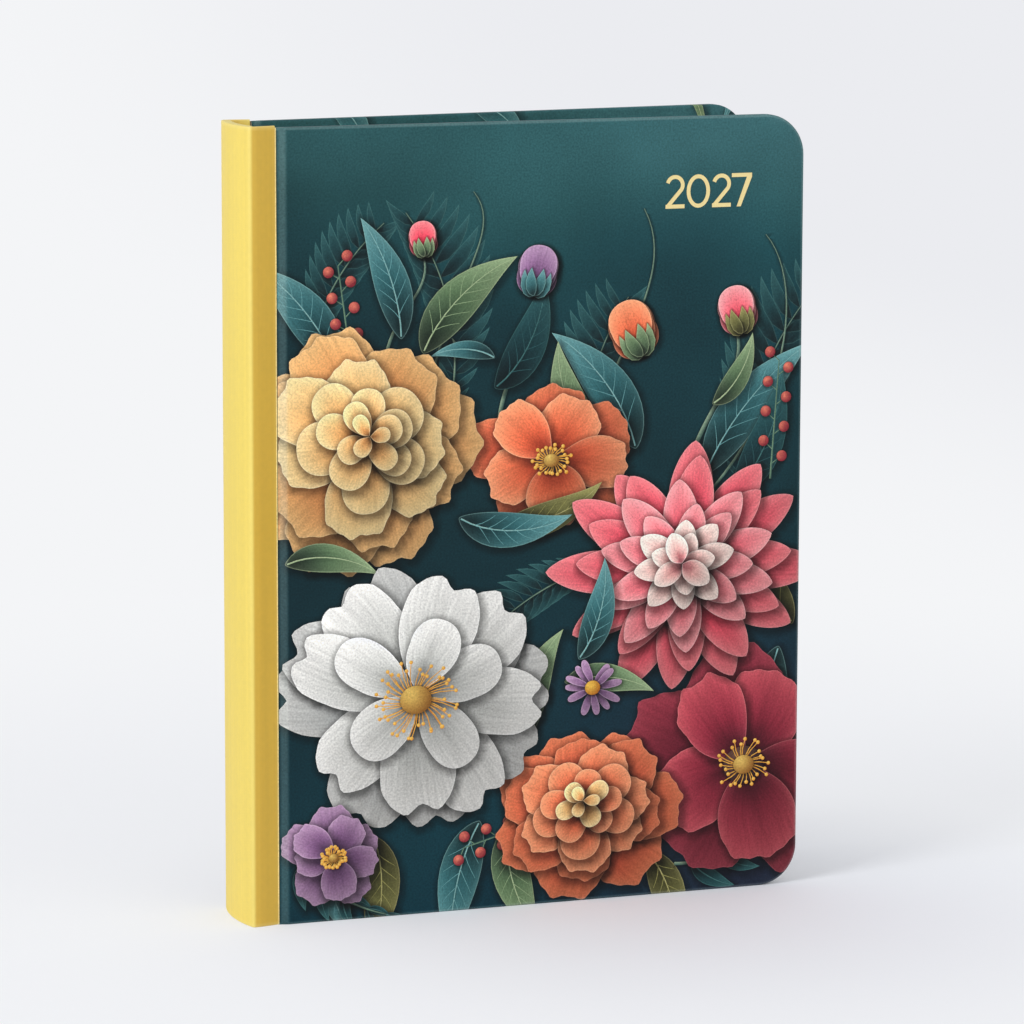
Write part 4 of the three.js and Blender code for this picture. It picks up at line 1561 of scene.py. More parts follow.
class Print:
    """Cuts a sheet along every mark's outline, so that the print is one flat, crisp layer.

    A constrained triangulation holds the outlines as edges, as far as no later mark hides them. The
    topmost mark over each triangle inks it, with a thin pale rim along its outline, and the marks
    above it that stop short of it shade it by their distance.
    """

    NIGHT = "1F2738"
    # The grey that the ground pales to in the upper right is a painted reflection.
    REFLECTION_TINT = "7FA0A8"
    # The ground runs lighter towards the head: partly the print's own teal, partly a painted reflection.
    GROUND_STOPS = ["0C3C4A", "124551", "103A44", "14383F", "163E45", "1F5056", "2A5D60", "34696C", "396F72"]
    GROUND_HEIGHTS = [0.0, 14.0, 50.0, 110.0, 150.0, 174.0, 190.0, 202.0, 224.0]
    LATTICE_GAP = 0.31
    LATTICE_SWAY = 0.2
    SHADE_DROP = (0.22, -0.3)
    RIM_GLOW = 0.2
    RIM_REACH = 1.3

    def __init__(self, sheet: Array, creases: list[Array], marks: list[Mark], spacing: float) -> None:
        """Triangulates the sheet and lays the marks on it.

        Args:
            sheet: The sheet's outline, rows of x, z.
            creases: Lines that the sheet bends along, which triangles must not cross.
            marks: The printed shapes, back to front.
            spacing: The distance between the points that carry smooth changes of colour.
        """
        self.marks = marks
        self.outlines = [mark.outline() for mark in marks]
        self._triangulate(sheet, creases, spacing)
        self.colours = self.ground(self.corners)
        self.streaks = np.zeros((len(self.triangles), 3))
        self.petals = self.corners / 10
        self.top = np.full(len(self.triangles), -1)
        for number in reversed(range(len(marks))):
            self._fill(number)
        for number, mark in enumerate(marks):
            if mark.cast > 0:
                self._shade(number)

    def _lines(self, sheet: Array) -> tuple[Array, Array]:
        """Points and edges of all the outlines, without the stretches that later marks hide.

        Args:
            sheet: The sheet's outline. Stretches outside it are left out too.

        Returns:
            Rows of x, z and rows of two point numbers.
        """
        lines, owners = [], []
        for number, (mark, outline) in enumerate(zip(self.marks, self.outlines)):
            lines.append(outline)
            if mark.cast > 0:
                lines.append(grown(outline + self.drop(mark), mark.cast)[::2])
            if mark.rim:
                lines.append(grown(outline, -mark.rim_width))
            owners += [number] * (len(lines) - len(owners))
        owner = np.repeat(owners, [len(line) for line in lines])
        points = np.concatenate(lines)
        starts = np.cumsum([0, *(len(line) for line in lines)])
        after = np.concatenate([np.roll(np.arange(a, b), -1) for a, b in zip(starts[:-1], starts[1:])])
        edges = np.stack([np.arange(len(points)), after], -1)
        hidden = ~inside(points, sheet)
        for number, outline in enumerate(self.outlines):
            near = np.flatnonzero(~hidden & (owner < number) & near_box(points, outline))
            hidden[near[inside(points[near], outline)]] = True
        edges = edges[~hidden[edges].all(1)]
        used, packed = np.unique(edges, return_inverse=True)
        return points[used], packed.reshape(-1, 2)

    def _triangulate(self, sheet: Array, creases: list[Array], spacing: float) -> None:
        """Cuts the sheet into triangles along the marks' outlines and the creases.

        Args:
            sheet: The sheet's outline.
            creases: Lines that stay edges.
            spacing: The pitch of a slightly uneven lattice of points between them.
        """
        low, high = sheet.min(0) + self.LATTICE_GAP, sheet.max(0) - self.LATTICE_GAP
        steps = np.maximum(((high - low) / spacing).astype(int), 1)
        axes = [np.linspace(a, b, n + 1) for a, b, n in zip(low, high, steps)]
        lattice = np.stack(np.meshgrid(*axes), -1).reshape(-1, 2)
        sway = self.LATTICE_SWAY
        lattice = lattice + np.random.default_rng(5).uniform(-sway, sway, lattice.shape)
        points, edges = self._lines(sheet)
        parts = [sheet, points, *creases, lattice]
        starts = np.cumsum([0, *(len(p) for p in parts)])
        edges = (edges + starts[1]).tolist()
        for start, line in zip(starts[2:], creases):
            edges += [(start + k, start + k + 1) for k in range(len(line) - 1)]
        spots = [Vector(p) for p in np.concatenate(parts).tolist()]
        found = delaunay_2d_cdt(spots, edges, [list(range(len(sheet)))], 1, 1e-4, False)
        self.points = np.array([tuple(p) for p in found[0]])
        triangles = np.array(found[2])
        self.triangles = triangles[inside(self.points[triangles].mean(1), sheet)]
        self.corners = self.points[self.triangles]
        self.centres = self.corners.mean(1)

    def ground(self, points: Array) -> Array:
        """The sheet's own colour: teal at the head to navy at the tail, with slow cloudy changes.

        It is lighter towards the fore-edge and turns to NIGHT in the lower right. The lighter teal at the head is
        partly a painted reflection, and the grey that it pales to in the upper right is a painted reflection of the
        pale surroundings.

        Args:
            points: Places on the sheet, with x and z last.

        Returns:
            Screen colours.
        """
        x, z = points[..., 0], points[..., 1]
        cloud = np.sin(x / 17 + 1.3 * np.sin(z / 23)) * np.cos(z / 19 + 0.8 * np.sin(x / 13))
        colour = blend_colours(self.GROUND_STOPS, self.GROUND_HEIGHTS, z + 9 * cloud)
        share = x / PLACE.reach
        across = 0.76 + 0.19 * share - 0.1 * smoothstep((share - 0.93) / 0.07) + 0.03 * cloud
        night = (smoothstep((x - 50) / 90) * smoothstep((100 - z) / 80))[..., None]
        # A painted reflection of the pale surroundings in the upper right.
        painted_reflection = (0.14 * smoothstep((share - 0.35) / 0.55) * smoothstep((z - 168) / 34))[..., None]
        colour = colour * across[..., None] * (1 - night) + rgb(self.NIGHT) * night
        return colour * (1 - painted_reflection) + rgb(self.REFLECTION_TINT) * painted_reflection

    def _within(self, outline: Array, allowed: Array) -> Array:
        """Numbers of the allowed triangles whose centres lie inside an outline."""
        near = np.flatnonzero(allowed & near_box(self.centres, outline))
        return near[inside(self.centres[near], outline)]

    def _fill(self, number: int) -> None:
        """Inks what shows of a mark, paler towards a pale rim where it has one.

        Args:
            number: The mark's place in the list.
        """
        mark, outline = self.marks[number], self.outlines[number]
        mine = self._within(outline, self.top < 0)
        if not len(mine):
            return
        self.top[mine] = number
        flat = self.corners[mine].reshape(-1, 2)
        colour, streak, petal = mark.ink(flat)
        if mark.rim:
            pale = rgb(mark.rim) * mark.light
            near = self.RIM_GLOW * np.exp(-distance_to(flat, outline) / self.RIM_REACH)[:, None]
            inner = inside(self.centres[mine], grown(outline, -mark.rim_width))
            rim = np.repeat(~inner, 3)[:, None]
            colour = np.where(rim, 0.5 * colour + 0.5 * pale, colour * (1 - near) + pale * near)
        self.colours[mine] = colour.reshape(-1, 3, 3)
        self.streaks[mine] = streak.reshape(-1, 3)
        self.petals[mine] = petal.reshape(-1, 3, 2)

    def drop(self, mark: Mark) -> Array:
        """How far a mark's shade falls to the lower right, away from the light."""
        return np.array(self.SHADE_DROP) * mark.cast

    def _shade(self, number: int) -> None:
        """Darkens what lies beside a mark, less and less with the distance from its moved outline.

        Args:
            number: The mark's place in the list.
        """
        mark = self.marks[number]
        outline = self.outlines[number] + self.drop(mark)
        mine = self._within(grown(outline, mark.cast), self.top < number)
        spots, where = np.unique(self.triangles[mine], return_inverse=True)
        places = self.points[spots]
        far = np.where(inside(places, outline), 0, distance_to(places, outline)) / mark.cast
        factor = 1 - mark.depth * (1 - smoothstep(far)) ** 1.3
        self.colours[mine] *= factor[where].reshape(-1, 3, 1)


@dataclass
class Cover:
    """A cover's printed shell, closed round its board, with the endpaper pasted inside."""

    side: Side
    corner: float = 11.0
    edge_radius: float = 0.5
    back: float = 2.6
    bevel_width: float = 2.7
    seam_depth: float = 1.0
    crest: float = 0.09
    cut_width: float = 0.2
    cut_depth: float = 0.16
    swell: float = 0.06
    turn_in: float = 8.0
    spacing: float = 1.9
    corner_steps: int = 14
    # The colour of the painted sheen and highlight on the film.
    sheen_colour: str = "BCC4BE"
    bevel_lines: tuple[float, ...] = (1.0, 2.1, 2.4, 2.6, 2.8, 3.0, 3.3)
    paper_left: float = 0.6
    paper_corner: float = 8.0
    paper_thickness: float = 0.26
    paper_face: float = 0.3
    step: float = 0.22
    step_inset: float = 12.0
    step_width: float = 1.4

    @property
    def body(self) -> str:
        """The frame's body that the cover rides on."""
        return f"{self.side.value}_cover"

    def rounded(self, distance: float) -> Array:
        """The line round the tail, fore-edge and head.

        Args:
            distance: How far it runs from the corner arcs' centres.

        Returns:
            Rows of x, z from the seam and back to it.
        """
        x, z = PLACE.reach - self.corner, PLACE.height - self.corner
        return np.concatenate([
            [[0.0, self.corner - distance]],
            arc((x, self.corner), distance, -90, 0, self.corner_steps),
            arc((x, z), distance, 0, 90, self.corner_steps),
            [[0.0, z + distance]],
        ])

    def skin_depth(self, x: Array) -> Array:
        """Depth of the skin: it dips to the seam, with a soft crest where the dip starts.

        The dip is the positive part of a straight slope s, rounded as (s + sqrt(s^2 + crest^2)) / 2,
        and the paper's cut edge at the seam slopes down a little more.

        Args:
            x: Distances from the seam.

        Returns:
            Depths under the cover's outer face.
        """
        dip = self.seam_depth * (1 - x / self.bevel_width)
        past = x > self.bevel_width
        sunk = 0.5 * (dip + np.sqrt(dip * dip + self.crest * self.crest)) - self.crest / 2 * past
        chamfer = self.cut_depth * np.clip(1 - x / self.cut_width, 0, 1)
        return np.clip(sunk, 0, self.seam_depth) * (x < 2 * self.bevel_width) + chamfer - self.swell * (x < 1)

    def inner_centre(self, points: Array) -> Array:
        """The nearest place to each point inside the rectangle of the corner arcs' centres."""
        return np.stack([
            np.minimum(points[..., 0], PLACE.reach - self.corner),
            np.clip(points[..., 1], self.corner, PLACE.height - self.corner),
        ], -1)

    def painted_highlight(self, points: Array) -> Array:
        """How much painted sheen lies over the print: a painted sheen over the dip beside the seam, and a painted
        highlight along the folded edge.

        Args:
            points: Places on the sheet, with x and z last.

        Returns:
            Shares of the painted sheen and highlight.
        """
        x = points[..., 0]
        # Painted sheen over the dip, and a painted highlight along the folded edge.
        dip = 0.24 * smoothstep((x - 0.4) / 0.4) * smoothstep((self.bevel_width + 0.5 - x) / 1.1)
        past = np.linalg.norm(points - self.inner_centre(points), axis=-1) - (self.corner - self.edge_radius)
        edge = 0.26 * smoothstep((past + 0.35) / 0.4) * smoothstep((1.0 - past) / 0.5)
        return np.maximum(dip, edge)

    def wrap(self, points: Array) -> Array:
        """Folds the flat sheet round the board.

        Up to the edge's rounding the sheet lies flat. Past it, the distance d along the sheet goes
        round a quarter circle, down the edge, round a second quarter circle, and back inwards.

        Args:
            points: Rows of x, z on the sheet.

        Returns:
            Rows of x, depth, z in the closed book.
        """
        centre = self.inner_centre(points)
        gap = points - centre
        span = np.linalg.norm(gap, axis=1)
        flat = self.corner - self.edge_radius
        d = np.maximum(span - flat, 0)
        r, quarter = self.edge_radius, self.edge_radius * math.pi / 2
        wall = self.back - 2 * r
        first = np.clip(d / r, 0, math.pi / 2)
        second = np.clip((d - quarter - wall) / r, 0, math.pi / 2)
        out = r * np.sin(first) - r * (1 - np.cos(second)) - np.maximum(d - 2 * quarter - wall, 0)
        depth = r * (1 - np.cos(first)) + np.clip(d - quarter, 0, wall) + r * np.sin(second)
        scale = np.where(span > flat, (flat + out) / np.maximum(span, 1e-9), 1.0)
        place = centre + gap * scale[:, None]
        sunk = self.skin_depth(place[:, 0]) * (1 - depth / self.back)
        return np.stack([place[:, 0], depth + sunk, place[:, 1]], -1)

    def sheet(self) -> tuple[Array, list[Array]]:
        """The flat sheet's outline, and the lines that it bends along.

        Returns:
            Rows of x, z round the sheet, and open lines of such rows.
        """
        quarter = self.edge_radius * math.pi / 2
        wall = self.back - 2 * self.edge_radius
        start = self.corner - self.edge_radius
        turns = np.linspace(0, quarter, 4)
        bends = [-0.25, *turns, quarter + 0.25, quarter + wall - 0.25]
        bends += [*(quarter + wall + turns), 2 * quarter + wall + 0.25]
        last = start + 2 * quarter + wall + self.turn_in
        tall = np.linspace(self.corner - last, PLACE.height - self.corner + last, 60)
        creases = [self.rounded(start + bend) for bend in bends]
        lines = (self.cut_width, *self.bevel_lines)
        return self.rounded(last), creases + [np.stack([np.full(len(tall), x), tall], -1) for x in lines]

    def shell(self, marks: list[Mark]) -> None:
        """The printed shell, in place of the frame's cover paper and board.

        Args:
            marks: The print, back to front.
        """
        printed = Print(*self.sheet(), marks, self.spacing)
        used, packed = np.unique(printed.triangles, return_inverse=True)
        triangles = packed.reshape(-1, 3)
        points = self.wrap(printed.points[used])
        caps = self.caps(points, triangles)
        faces = [*triangles.tolist(), *caps]
        # Mixes the painted sheen and highlight into the print's colours. The ink attribute carries both.
        painted_highlight = self.painted_highlight(printed.corners)[..., None]
        shown = printed.colours * (1 - painted_highlight) + rgb(self.sheen_colour) * painted_highlight
        values, petals = np.concatenate([linear(shown), printed.streaks[..., None]], -1), printed.petals
        if self.side is Side.BACK:
            faces = [face[::-1] for face in faces]
            values, petals = values[:, ::-1], petals[:, ::-1]
        place = PLACE.row(points, self.side, joint=1.0, cover=1.0)
        name = f"{self.side.value}_cover_shell"
        piece = make_object(name, place, faces, [LAMINATE, BOARD], 50, outwards=False)
        plain = sum(map(len, caps))
        values = np.concatenate([values.reshape(-1, 4), np.full((plain, 4), 0.3)])
        petals = np.concatenate([petals.reshape(-1, 2), np.zeros((plain, 2))])
        ink = piece.data.color_attributes.new("ink", "FLOAT_COLOR", "CORNER")
        ink.data.foreach_set("color", values.astype(np.float32).ravel())
        piece.data.uv_layers.new(name="petal").uv.foreach_set("vector", petals.astype(np.float32).ravel())
        slots = np.repeat(np.array([0, 1], np.int32), [len(triangles), len(caps)])
        piece.data.polygons.foreach_set("material_index", slots)
        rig.replaces(piece, f"{self.side.value}_cover_paper", f"{self.side.value}_board")
        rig.ride(piece, self.body)
        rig.slot(piece, "cover_paper")

    @staticmethod
    def caps(points: Array, triangles: Array) -> list[list[int]]:
        """The board's spine end and its inner face, which close the wrapped sheet.

        The sheet's free edge is one loop. Its stretch at the seam bounds the spine end, and the rest
        bounds the inner face.

        Args:
            points: Vertices in the closed book.
            triangles: The sheet's faces.

        Returns:
            Two faces, wound like the sheet.
        """
        edges = np.concatenate([triangles[:, [0, 1]], triangles[:, [1, 2]], triangles[:, [2, 0]]])
        size = len(points)
        codes = edges[:, 0] * size + edges[:, 1]
        free = edges[~np.isin(codes, edges[:, 1] * size + edges[:, 0])]
        following = dict(free[:, ::-1].tolist())
        loop = [next(iter(following))]
        while following[loop[-1]] != loop[0]:
            loop.append(following[loop[-1]])
        loop = np.array(loop)
        at_seam = points[loop, 0] < 1e-3
        first = int(np.flatnonzero(at_seam & ~np.roll(at_seam, 1))[0])
        loop, at_seam = np.roll(loop, -first), np.roll(at_seam, -first)
        count = int(at_seam.sum())
        return [loop[:count].tolist(), np.append(loop[count - 1:], loop[0]).tolist()]

    def pastedown(self) -> None:
        """The endpaper pasted inside: it shows the turn-in's edge as a low step.

        The paper's height at each x falls by a quarter circle at its two outer corners. It is a grid
        of points on two faces, closed by a wall round its edge.
        """
        right, radius = PLACE.reach - PLACE.INSET, self.paper_corner
        bend = right - radius
        x = np.unique(np.concatenate([np.linspace(self.paper_left, bend, 34), np.linspace(bend, right, 12)]))
        drop = radius - np.sqrt(np.maximum(radius ** 2 - np.clip(x - bend, 0, radius) ** 2, 0))
        share = np.concatenate([[0, 0.004], np.linspace(0.01, 0.12, 14), np.linspace(0.16, 0.84, 18)])
        share = np.unique(np.concatenate([share, 1 - share]))
        low, high = PLACE.page_low, PLACE.page_high
        z = (low + drop)[:, None] + share[None] * (high - low - 2 * drop)[:, None]
        wide = np.broadcast_to(x[:, None], z.shape)
        edge = np.minimum(np.minimum(z, PLACE.height - z), PLACE.reach - wide)
        fall = smoothstep((edge - self.step_inset) / self.step_width)
        inner = self.back + self.paper_face - self.step * fall
        outer = inner - self.paper_thickness
        layers = [np.stack([wide, depth, z], -1).reshape(-1, 3) for depth in (inner, outer)]
        number = np.arange(z.size).reshape(z.shape)
        top = grid_faces(number)
        loop = np.concatenate([number[0], number[1:, -1], number[-1, -2::-1], number[-2:0:-1, 0]])
        after = np.roll(loop, -1)
        wall = np.stack([loop, after, after + z.size, loop + z.size], -1)
        faces = [*top.tolist(), *(top[:, ::-1] + z.size).tolist(), *wall.tolist()]
        points = PLACE.row(np.concatenate(layers), self.side, joint=1.0, cover=1.0)
        piece = make_object(f"{self.side.value}_pastedown_sheet", points, faces, [ENDPAPER])
        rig.replaces(piece, f"{self.side.value}_pastedown")
        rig.ride(piece, self.body)
        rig.slot(piece, "endpaper")

    def build(self, marks: list[Mark]) -> None:
        """Builds the shell and the pastedown."""
        self.shell(marks)
        self.pastedown()


def blend_ends(side: Side, start: float, end: float, depth: float, joint: float = 0.0) -> dict[str, tuple]:
    """Where a bend starts and ends in the frame's metres, at half the cover's height."""
    ends = PLACE.row([[start, depth, BLEND_HEIGHT], [end, depth, BLEND_HEIGHT]], side, joint=joint)
    return {"start": tuple(ends[0]), "end": tuple(ends[1])}


@dataclass
class SpineCloth:
    """The yellow cloth: over the spine, round both ridges and across both joints to the covers."""

    cloth: float = 0.5
    joint_width: float = 7.4
    bow: float = 1.6
    ridge: float = 0.95
    depth: float = 2.6
    tuck: float = 1.02
    turn_in: float = 12.0
    roll: float = 0.34
    spine_split: float = -6.3
    strip_split: float = -2.8
    ridge_bend: Pair = (-6.1, -4.4)
    groove_bend: Pair = (-1.1, -0.15)
    bend_depth: float = 0.8
    seam_depth: float = 1.12
    slope_power: float = 1.12

    def spine_path(self) -> tuple[Array, Array]:
        """Plan points and inward normals of the spine's outer face, from the front flat to the back.

        The face is an arc that bows out by the bow over the book's thickness. At either end it turns
        round a ridge, a smaller arc, on to the flat beside it.
        """
        half = PLACE.thickness / 2
        radius = ((half - 0.35) ** 2 + self.bow ** 2) / (2 * self.bow)
        y = np.linspace(self.ridge * 0.86, PLACE.thickness - self.ridge * 0.86, 41)
        face = -self.joint_width - (np.sqrt(radius ** 2 - (y - half) ** 2) - (radius - self.bow))
        lean = math.asin((half - self.ridge) / radius)
        middle = (face[0] + self.ridge * math.cos(lean), self.ridge)
        first = arc(middle, self.ridge, 270, 180 + math.degrees(lean), 9)
        flat = np.array([[self.spine_split, 0.0], [self.spine_split - 0.3, 0.0]])
        front = np.concatenate([flat, first])
        back = front[::-1] * [1, -1] + [0, PLACE.thickness]
        path = np.concatenate([front, np.stack([face, y], -1)[1:-1], back])
        run = unit(np.gradient(path, axis=0))
        return path, np.stack([run[:, 1], -run[:, 0]], -1)

    def profile(self, depth: float) -> Array:
        """Depth and height round the cloth, turned in over the head and the tail.

        Args:
            depth: From the outer face to the inner face of the turn-in.

        Returns:
            Rows of depth and height round the closed profile.
        """
        top, c, r, low = PLACE.head, self.cloth, self.roll, PLACE.head - self.turn_in
        upper = np.concatenate([
            [[0.0, top / 2], [0.0, top - 1.2]],
            arc((r, top - r), r, 180, 90, 5),
            arc((depth - r, top - r), r, 90, 0, 5),
            [[depth, top - 1.2], [depth, low], [depth - 0.15, low - 0.1], [depth - c, low]],
            [[depth - c, top - c - 0.1], [c, top - c - 0.1], [c, top / 2]],
        ])
        lower = upper[::-1] * [1, -1] + [0, top]
        return np.concatenate([upper, lower[1:-1]])

    def skin(
        self, name: str, path: Array, normals: Array, depths: Array, **shares: object
    ) -> bpy.types.Object:
        """The cloth along one path, with the masks of its painted highlight and its painted joint shade.

        Args:
            name: The piece's name.
            path: Plan points of the outer face.
            normals: Inward normals at those points.
            depths: From the outer face to the turn-in's inner face, at those points.
            shares: The side, and functions of x that give the shares of each lean.

        Returns:
            The piece.
        """
        profiles = np.array([self.profile(float(d)) for d in depths])
        plan = path[:, None] + profiles[..., :1] * normals[:, None]
        points = np.concatenate([plan, profiles[..., 1:]], -1).reshape(-1, 3)
        leans = {key: share(points[:, 0]) if callable(share) else share for key, share in shares.items()}
        faces = loft_faces(*profiles.shape[:2])
        piece = make_object(name, PLACE.row(points, **leans), faces, [CLOTH], 60)
        # Masks of the painted highlight on the ridges, ends and seam, and of the painted shade on the joints.
        for label, values in (("edge_highlight", self.edge_highlight(points)), ("joint_shade", self.joint_shade(points))):
            mask = piece.data.attributes.new(label, "FLOAT", "POINT")
            mask.data.foreach_set("value", values.astype(np.float32))
        return piece

    def edge_highlight(self, points: Array) -> Array:
        """How far the cloth is painted paler, as a painted highlight: at the head, the tail and the seams, and on the
        two ridges.

        Args:
            points: Rows of x, depth and z.

        Returns:
            One share per point.
        """
        x, depth, z = points.T
        ends = np.exp(-np.minimum(z, PLACE.head - z) / 0.5)
        corner = np.hypot(x + self.joint_width, np.minimum(depth, PLACE.thickness - depth))
        return np.clip(0.55 * ends + 0.3 * np.exp(-corner / 0.45) + 0.18 * np.exp(x / 0.35), 0, 1)

    def joint_shade(self, points: Array) -> Array:
        """How far the cloth takes the deeper painted shade of the joints: none on the spine, whole past the ridge."""
        inner = np.minimum(points[:, 1], PLACE.thickness - points[:, 1])
        return smoothstep((points[:, 0] + 7.0) / 0.8) * smoothstep((2.2 - inner) / 1.2)

    def spine(self) -> None:
        """The cloth on the spine itself, whose turn-ins reach deeper in its middle."""
        path, normals = self.spine_path()
        inner = np.minimum(path[:, 1], PLACE.thickness - path[:, 1])
        deeper = (self.depth - self.tuck) * smoothstep((inner - 0.3) / 2.2)
        depths = np.where(path[:, 0] > -self.joint_width + 0.1, self.tuck, self.tuck + deeper)
        piece = self.skin("spine_cloth_skin", path, normals, depths)
        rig.replaces(piece, "spine_cloth")
        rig.ride(piece, "spine")
        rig.slot(piece, "cloth")

    def strip(self, name: str, left: float, right: float, steps: int, **shares: object) -> bpy.types.Object:
        """A stretch of the joint's cloth: level beside the ridge, then sloping down to the seam.

        Args:
            name: The piece's name.
            left: Its first x.
            right: Its last x.
            steps: Profiles along it.
            shares: As skin takes them.

        Returns:
            The piece.
        """
        x = np.linspace(left, right, steps)
        slope = np.clip((x - PLACE.joint_hinge[0]) / (0 - PLACE.joint_hinge[0]), 0, 1) ** self.slope_power
        path = np.stack([x, self.seam_depth * slope], -1)
        run = unit(np.gradient(path, axis=0))
        normals = np.stack([-run[:, 1], run[:, 0]], -1)
        return self.skin(name, path, normals, np.full(steps, self.tuck), **shares)

    def joints(self, side: Side) -> None:
        """The two bending stretches of one joint: spine to strip, and strip to cover.

        Args:
            side: The half of the book.
        """
        joint = f"{side.value}_joint"

        def share(bend: Pair) -> object:
            """The blend's share as a function of x."""
            return lambda x: smoothstep((x - bend[0]) / (bend[1] - bend[0]))

        piece = self.strip(
            f"{side.value}_ridge_cloth", self.spine_split, self.strip_split, 22,
            side=side, joint=share(self.ridge_bend),
        )
        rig.replaces(piece, f"{side.value}_joint_cloth")
        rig.blend(piece, "spine", joint, **blend_ends(side, *self.ridge_bend, self.bend_depth))
        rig.slot(piece, "cloth")
        piece = self.strip(
            f"{side.value}_groove_cloth", self.strip_split, 0.0, 18,
            side=side, joint=1.0, cover=share(self.groove_bend),
        )
        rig.blend(piece, joint, f"{side.value}_cover", **blend_ends(side, *self.groove_bend, self.bend_depth))
        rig.slot(piece, "cloth")

    def build(self) -> None:
        """Builds the whole cloth."""
        self.spine()
        for side in Side:
            self.joints(side)


@dataclass
class Endpapers:
    """The fold of the endpaper across each inner joint, from the cover to the flyleaf."""

    thickness: float = 0.14
    low: float = 2.4
    pasted: float = 2.7
    fold_x: float = -0.42
    bulge: float = 0.14
    cover_bend: Pair = (-0.37, -0.18)
    leaf_bend: Pair = (-0.42, 0.4)

    def path(self, to_cover: bool) -> Array:
        """Plan points of one half of the fold.

        Both halves start at the fold's bend. The cover's half dips below the board's inner face,
        where it has to bend when the cover opens, and rises on to the board. The flyleaf's half
        levels out at the leaf.

        Args:
            to_cover: Whether it is the cover's half.

        Returns:
            Rows of x and depth.
        """
        a = np.linspace(0, math.pi / 2, 9)
        leaf = PLACE.leaf_hinge[1]
        middle, spread = (self.low + leaf) / 2, (leaf - self.low) / 2
        sign = -1 if to_cover else 1
        bend = np.stack([self.fold_x + self.bulge * (1 - np.cos(a)), middle + sign * spread * np.sin(a)], -1)
        x = np.append(np.linspace(self.fold_x + 0.17, 0.04, 12), 0.9 if to_cover else 0.5)
        rise = (self.pasted - self.low) * smoothstep((x + 0.18) / 0.2) if to_cover else 0 * x
        return np.concatenate([bend, np.stack([x, bend[-1, 1] + rise], -1)])

    def half(self, side: Side, part: str) -> None:
        """One bending half of the fold: to the cover or to the flyleaf.

        Args:
            side: The half of the book.
            part: The body it reaches, without its side's name.
        """
        to_cover = part == "cover"
        path = self.path(to_cover)
        run = unit(np.gradient(path, axis=0))
        normal = np.stack([-run[:, 1], run[:, 0]], -1) * self.thickness / 2
        ring = np.stack([path - normal, path - normal, path + normal, path + normal], 1)
        low, high = PLACE.page_low, PLACE.page_high
        z = np.broadcast_to(np.array([low, high, high, low]), ring.shape[:2])
        points = np.concatenate([ring, z[..., None]], -1).reshape(-1, 3)
        start, end = self.cover_bend if to_cover else self.leaf_bend
        shares = {"cover" if to_cover else "leaf": smoothstep((points[:, 0] - start) / (end - start))}
        place = PLACE.row(points, side, joint=1.0, **shares)
        piece = make_object(f"{side.value}_{part}_fold", place, loft_faces(*ring.shape[:2]), [ENDPAPER])
        ends = blend_ends(side, start, end, PLACE.leaf_hinge[1], joint=1.0)
        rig.blend(piece, f"{side.value}_joint", f"{side.value}_{part}", **ends)
        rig.slot(piece, "endpaper")

    def build(self) -> None:
        """Builds both folds. The flyleaves keep the frame's own shape."""
        for side in Side:
            for part in ("cover", "flyleaf"):
                self.half(side, part)


@dataclass
class Block:
    """The sewn sections, each a bundle of loose leaves that thins towards its fold."""

    leaves: int = 12
    sheet: float = 0.1
    gap: float = 0.12
    uneven: float = 0.12
    corner: float = 8.0
    corner_steps: int = 8
    outer_share: float = 0.8
    count: int = 11
    middle: int = 6
    folded: float = 0.42
    nose: float = 4.5
    nose_lines: tuple[float, ...] = (0.0, 0.5, 1.2, 2.4, 5.0, 12.0)

    def build(self) -> None:
        """Builds every section in place of its plain solid."""
        low, high = PLACE.box("section_01")
        pitch = PLACE.box("section_02")[0][1] - low[1]
        for number in range(1, self.count + 1):
            centre = (low[1] + high[1]) / 2 + (number - 1) * pitch
            self.section(number, centre, pitch, low[0], high[0])

    def leaf_plan(self, fold: float, right: float) -> tuple[Array, Array]:
        """The x of a leaf's columns, and how far each stops short of the head and tail.

        Args:
            fold: The x of the section's fold.
            right: The x of its fore-edge, where a quarter circle rounds both corners.

        Returns:
            Both as rows.
        """
        start, turns = right - self.corner, np.linspace(0, math.pi / 2, self.corner_steps)
        flat = np.linspace(30, start - 1, 3)
        x = np.concatenate([fold + np.array(self.nose_lines), flat, start + self.corner * np.sin(turns)])
        over = np.clip(x - right + self.corner, 0, self.corner)
        return x, self.corner - np.sqrt(np.maximum(self.corner ** 2 - over ** 2, 0))

    def section(self, number: int, centre: float, pitch: float, fold: float, right: float) -> None:
        """One section of leaves, which stand in the same fan as the frame's sections at rest.

        Args:
            number: Its place from the front, from 1.
            centre: Its depth.
            pitch: The distance to the next section.
            fold: The x of its fold.
            right: The x of its fore-edge.
        """
        chance = np.random.default_rng(100 + number)
        x, drop = self.leaf_plan(fold, right)
        low, high = PLACE.page_low + drop, PLACE.page_high - drop
        nose = self.folded + (1 - self.folded) * smoothstep((x - fold) / self.nose)
        half = self.sheet / 2 * nose
        points, faces = [], []
        for i in range(self.leaves):
            offset = (i - (self.leaves - 1) / 2) * (pitch - self.gap) / self.leaves
            y = centre + offset * nose
            wide = x - chance.uniform(0, self.uneven) * (x - fold) / (right - fold)
            corners = ((y - half, low), (y - half, high), (y + half, high), (y + half, low))
            faces += loft_faces(len(x), 4, 4 * len(x) * i)
            points.append(np.stack([np.stack([wide, *corner], -1) for corner in corners], 1).reshape(-1, 3))
        name = f"section_{number:02d}"
        place = PLACE.row(np.concatenate(points))
        if number != self.middle:
            hinge = next(j for j in frame["joints"] if j["child"] == name)["pos_m"]
            past = max(0.0, self.outer_share * (number - self.middle) / (self.middle - 1))
            place = turn(place, (hinge[0], hinge[1]), past * PLACE.AJAR / 2)
        piece = make_object(f"{name}_leaves", place, faces, [PAGES], 30)
        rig.replaces(piece, name)
        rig.ride(piece, "spine" if number == self.middle else name)
        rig.slot(piece, "page")


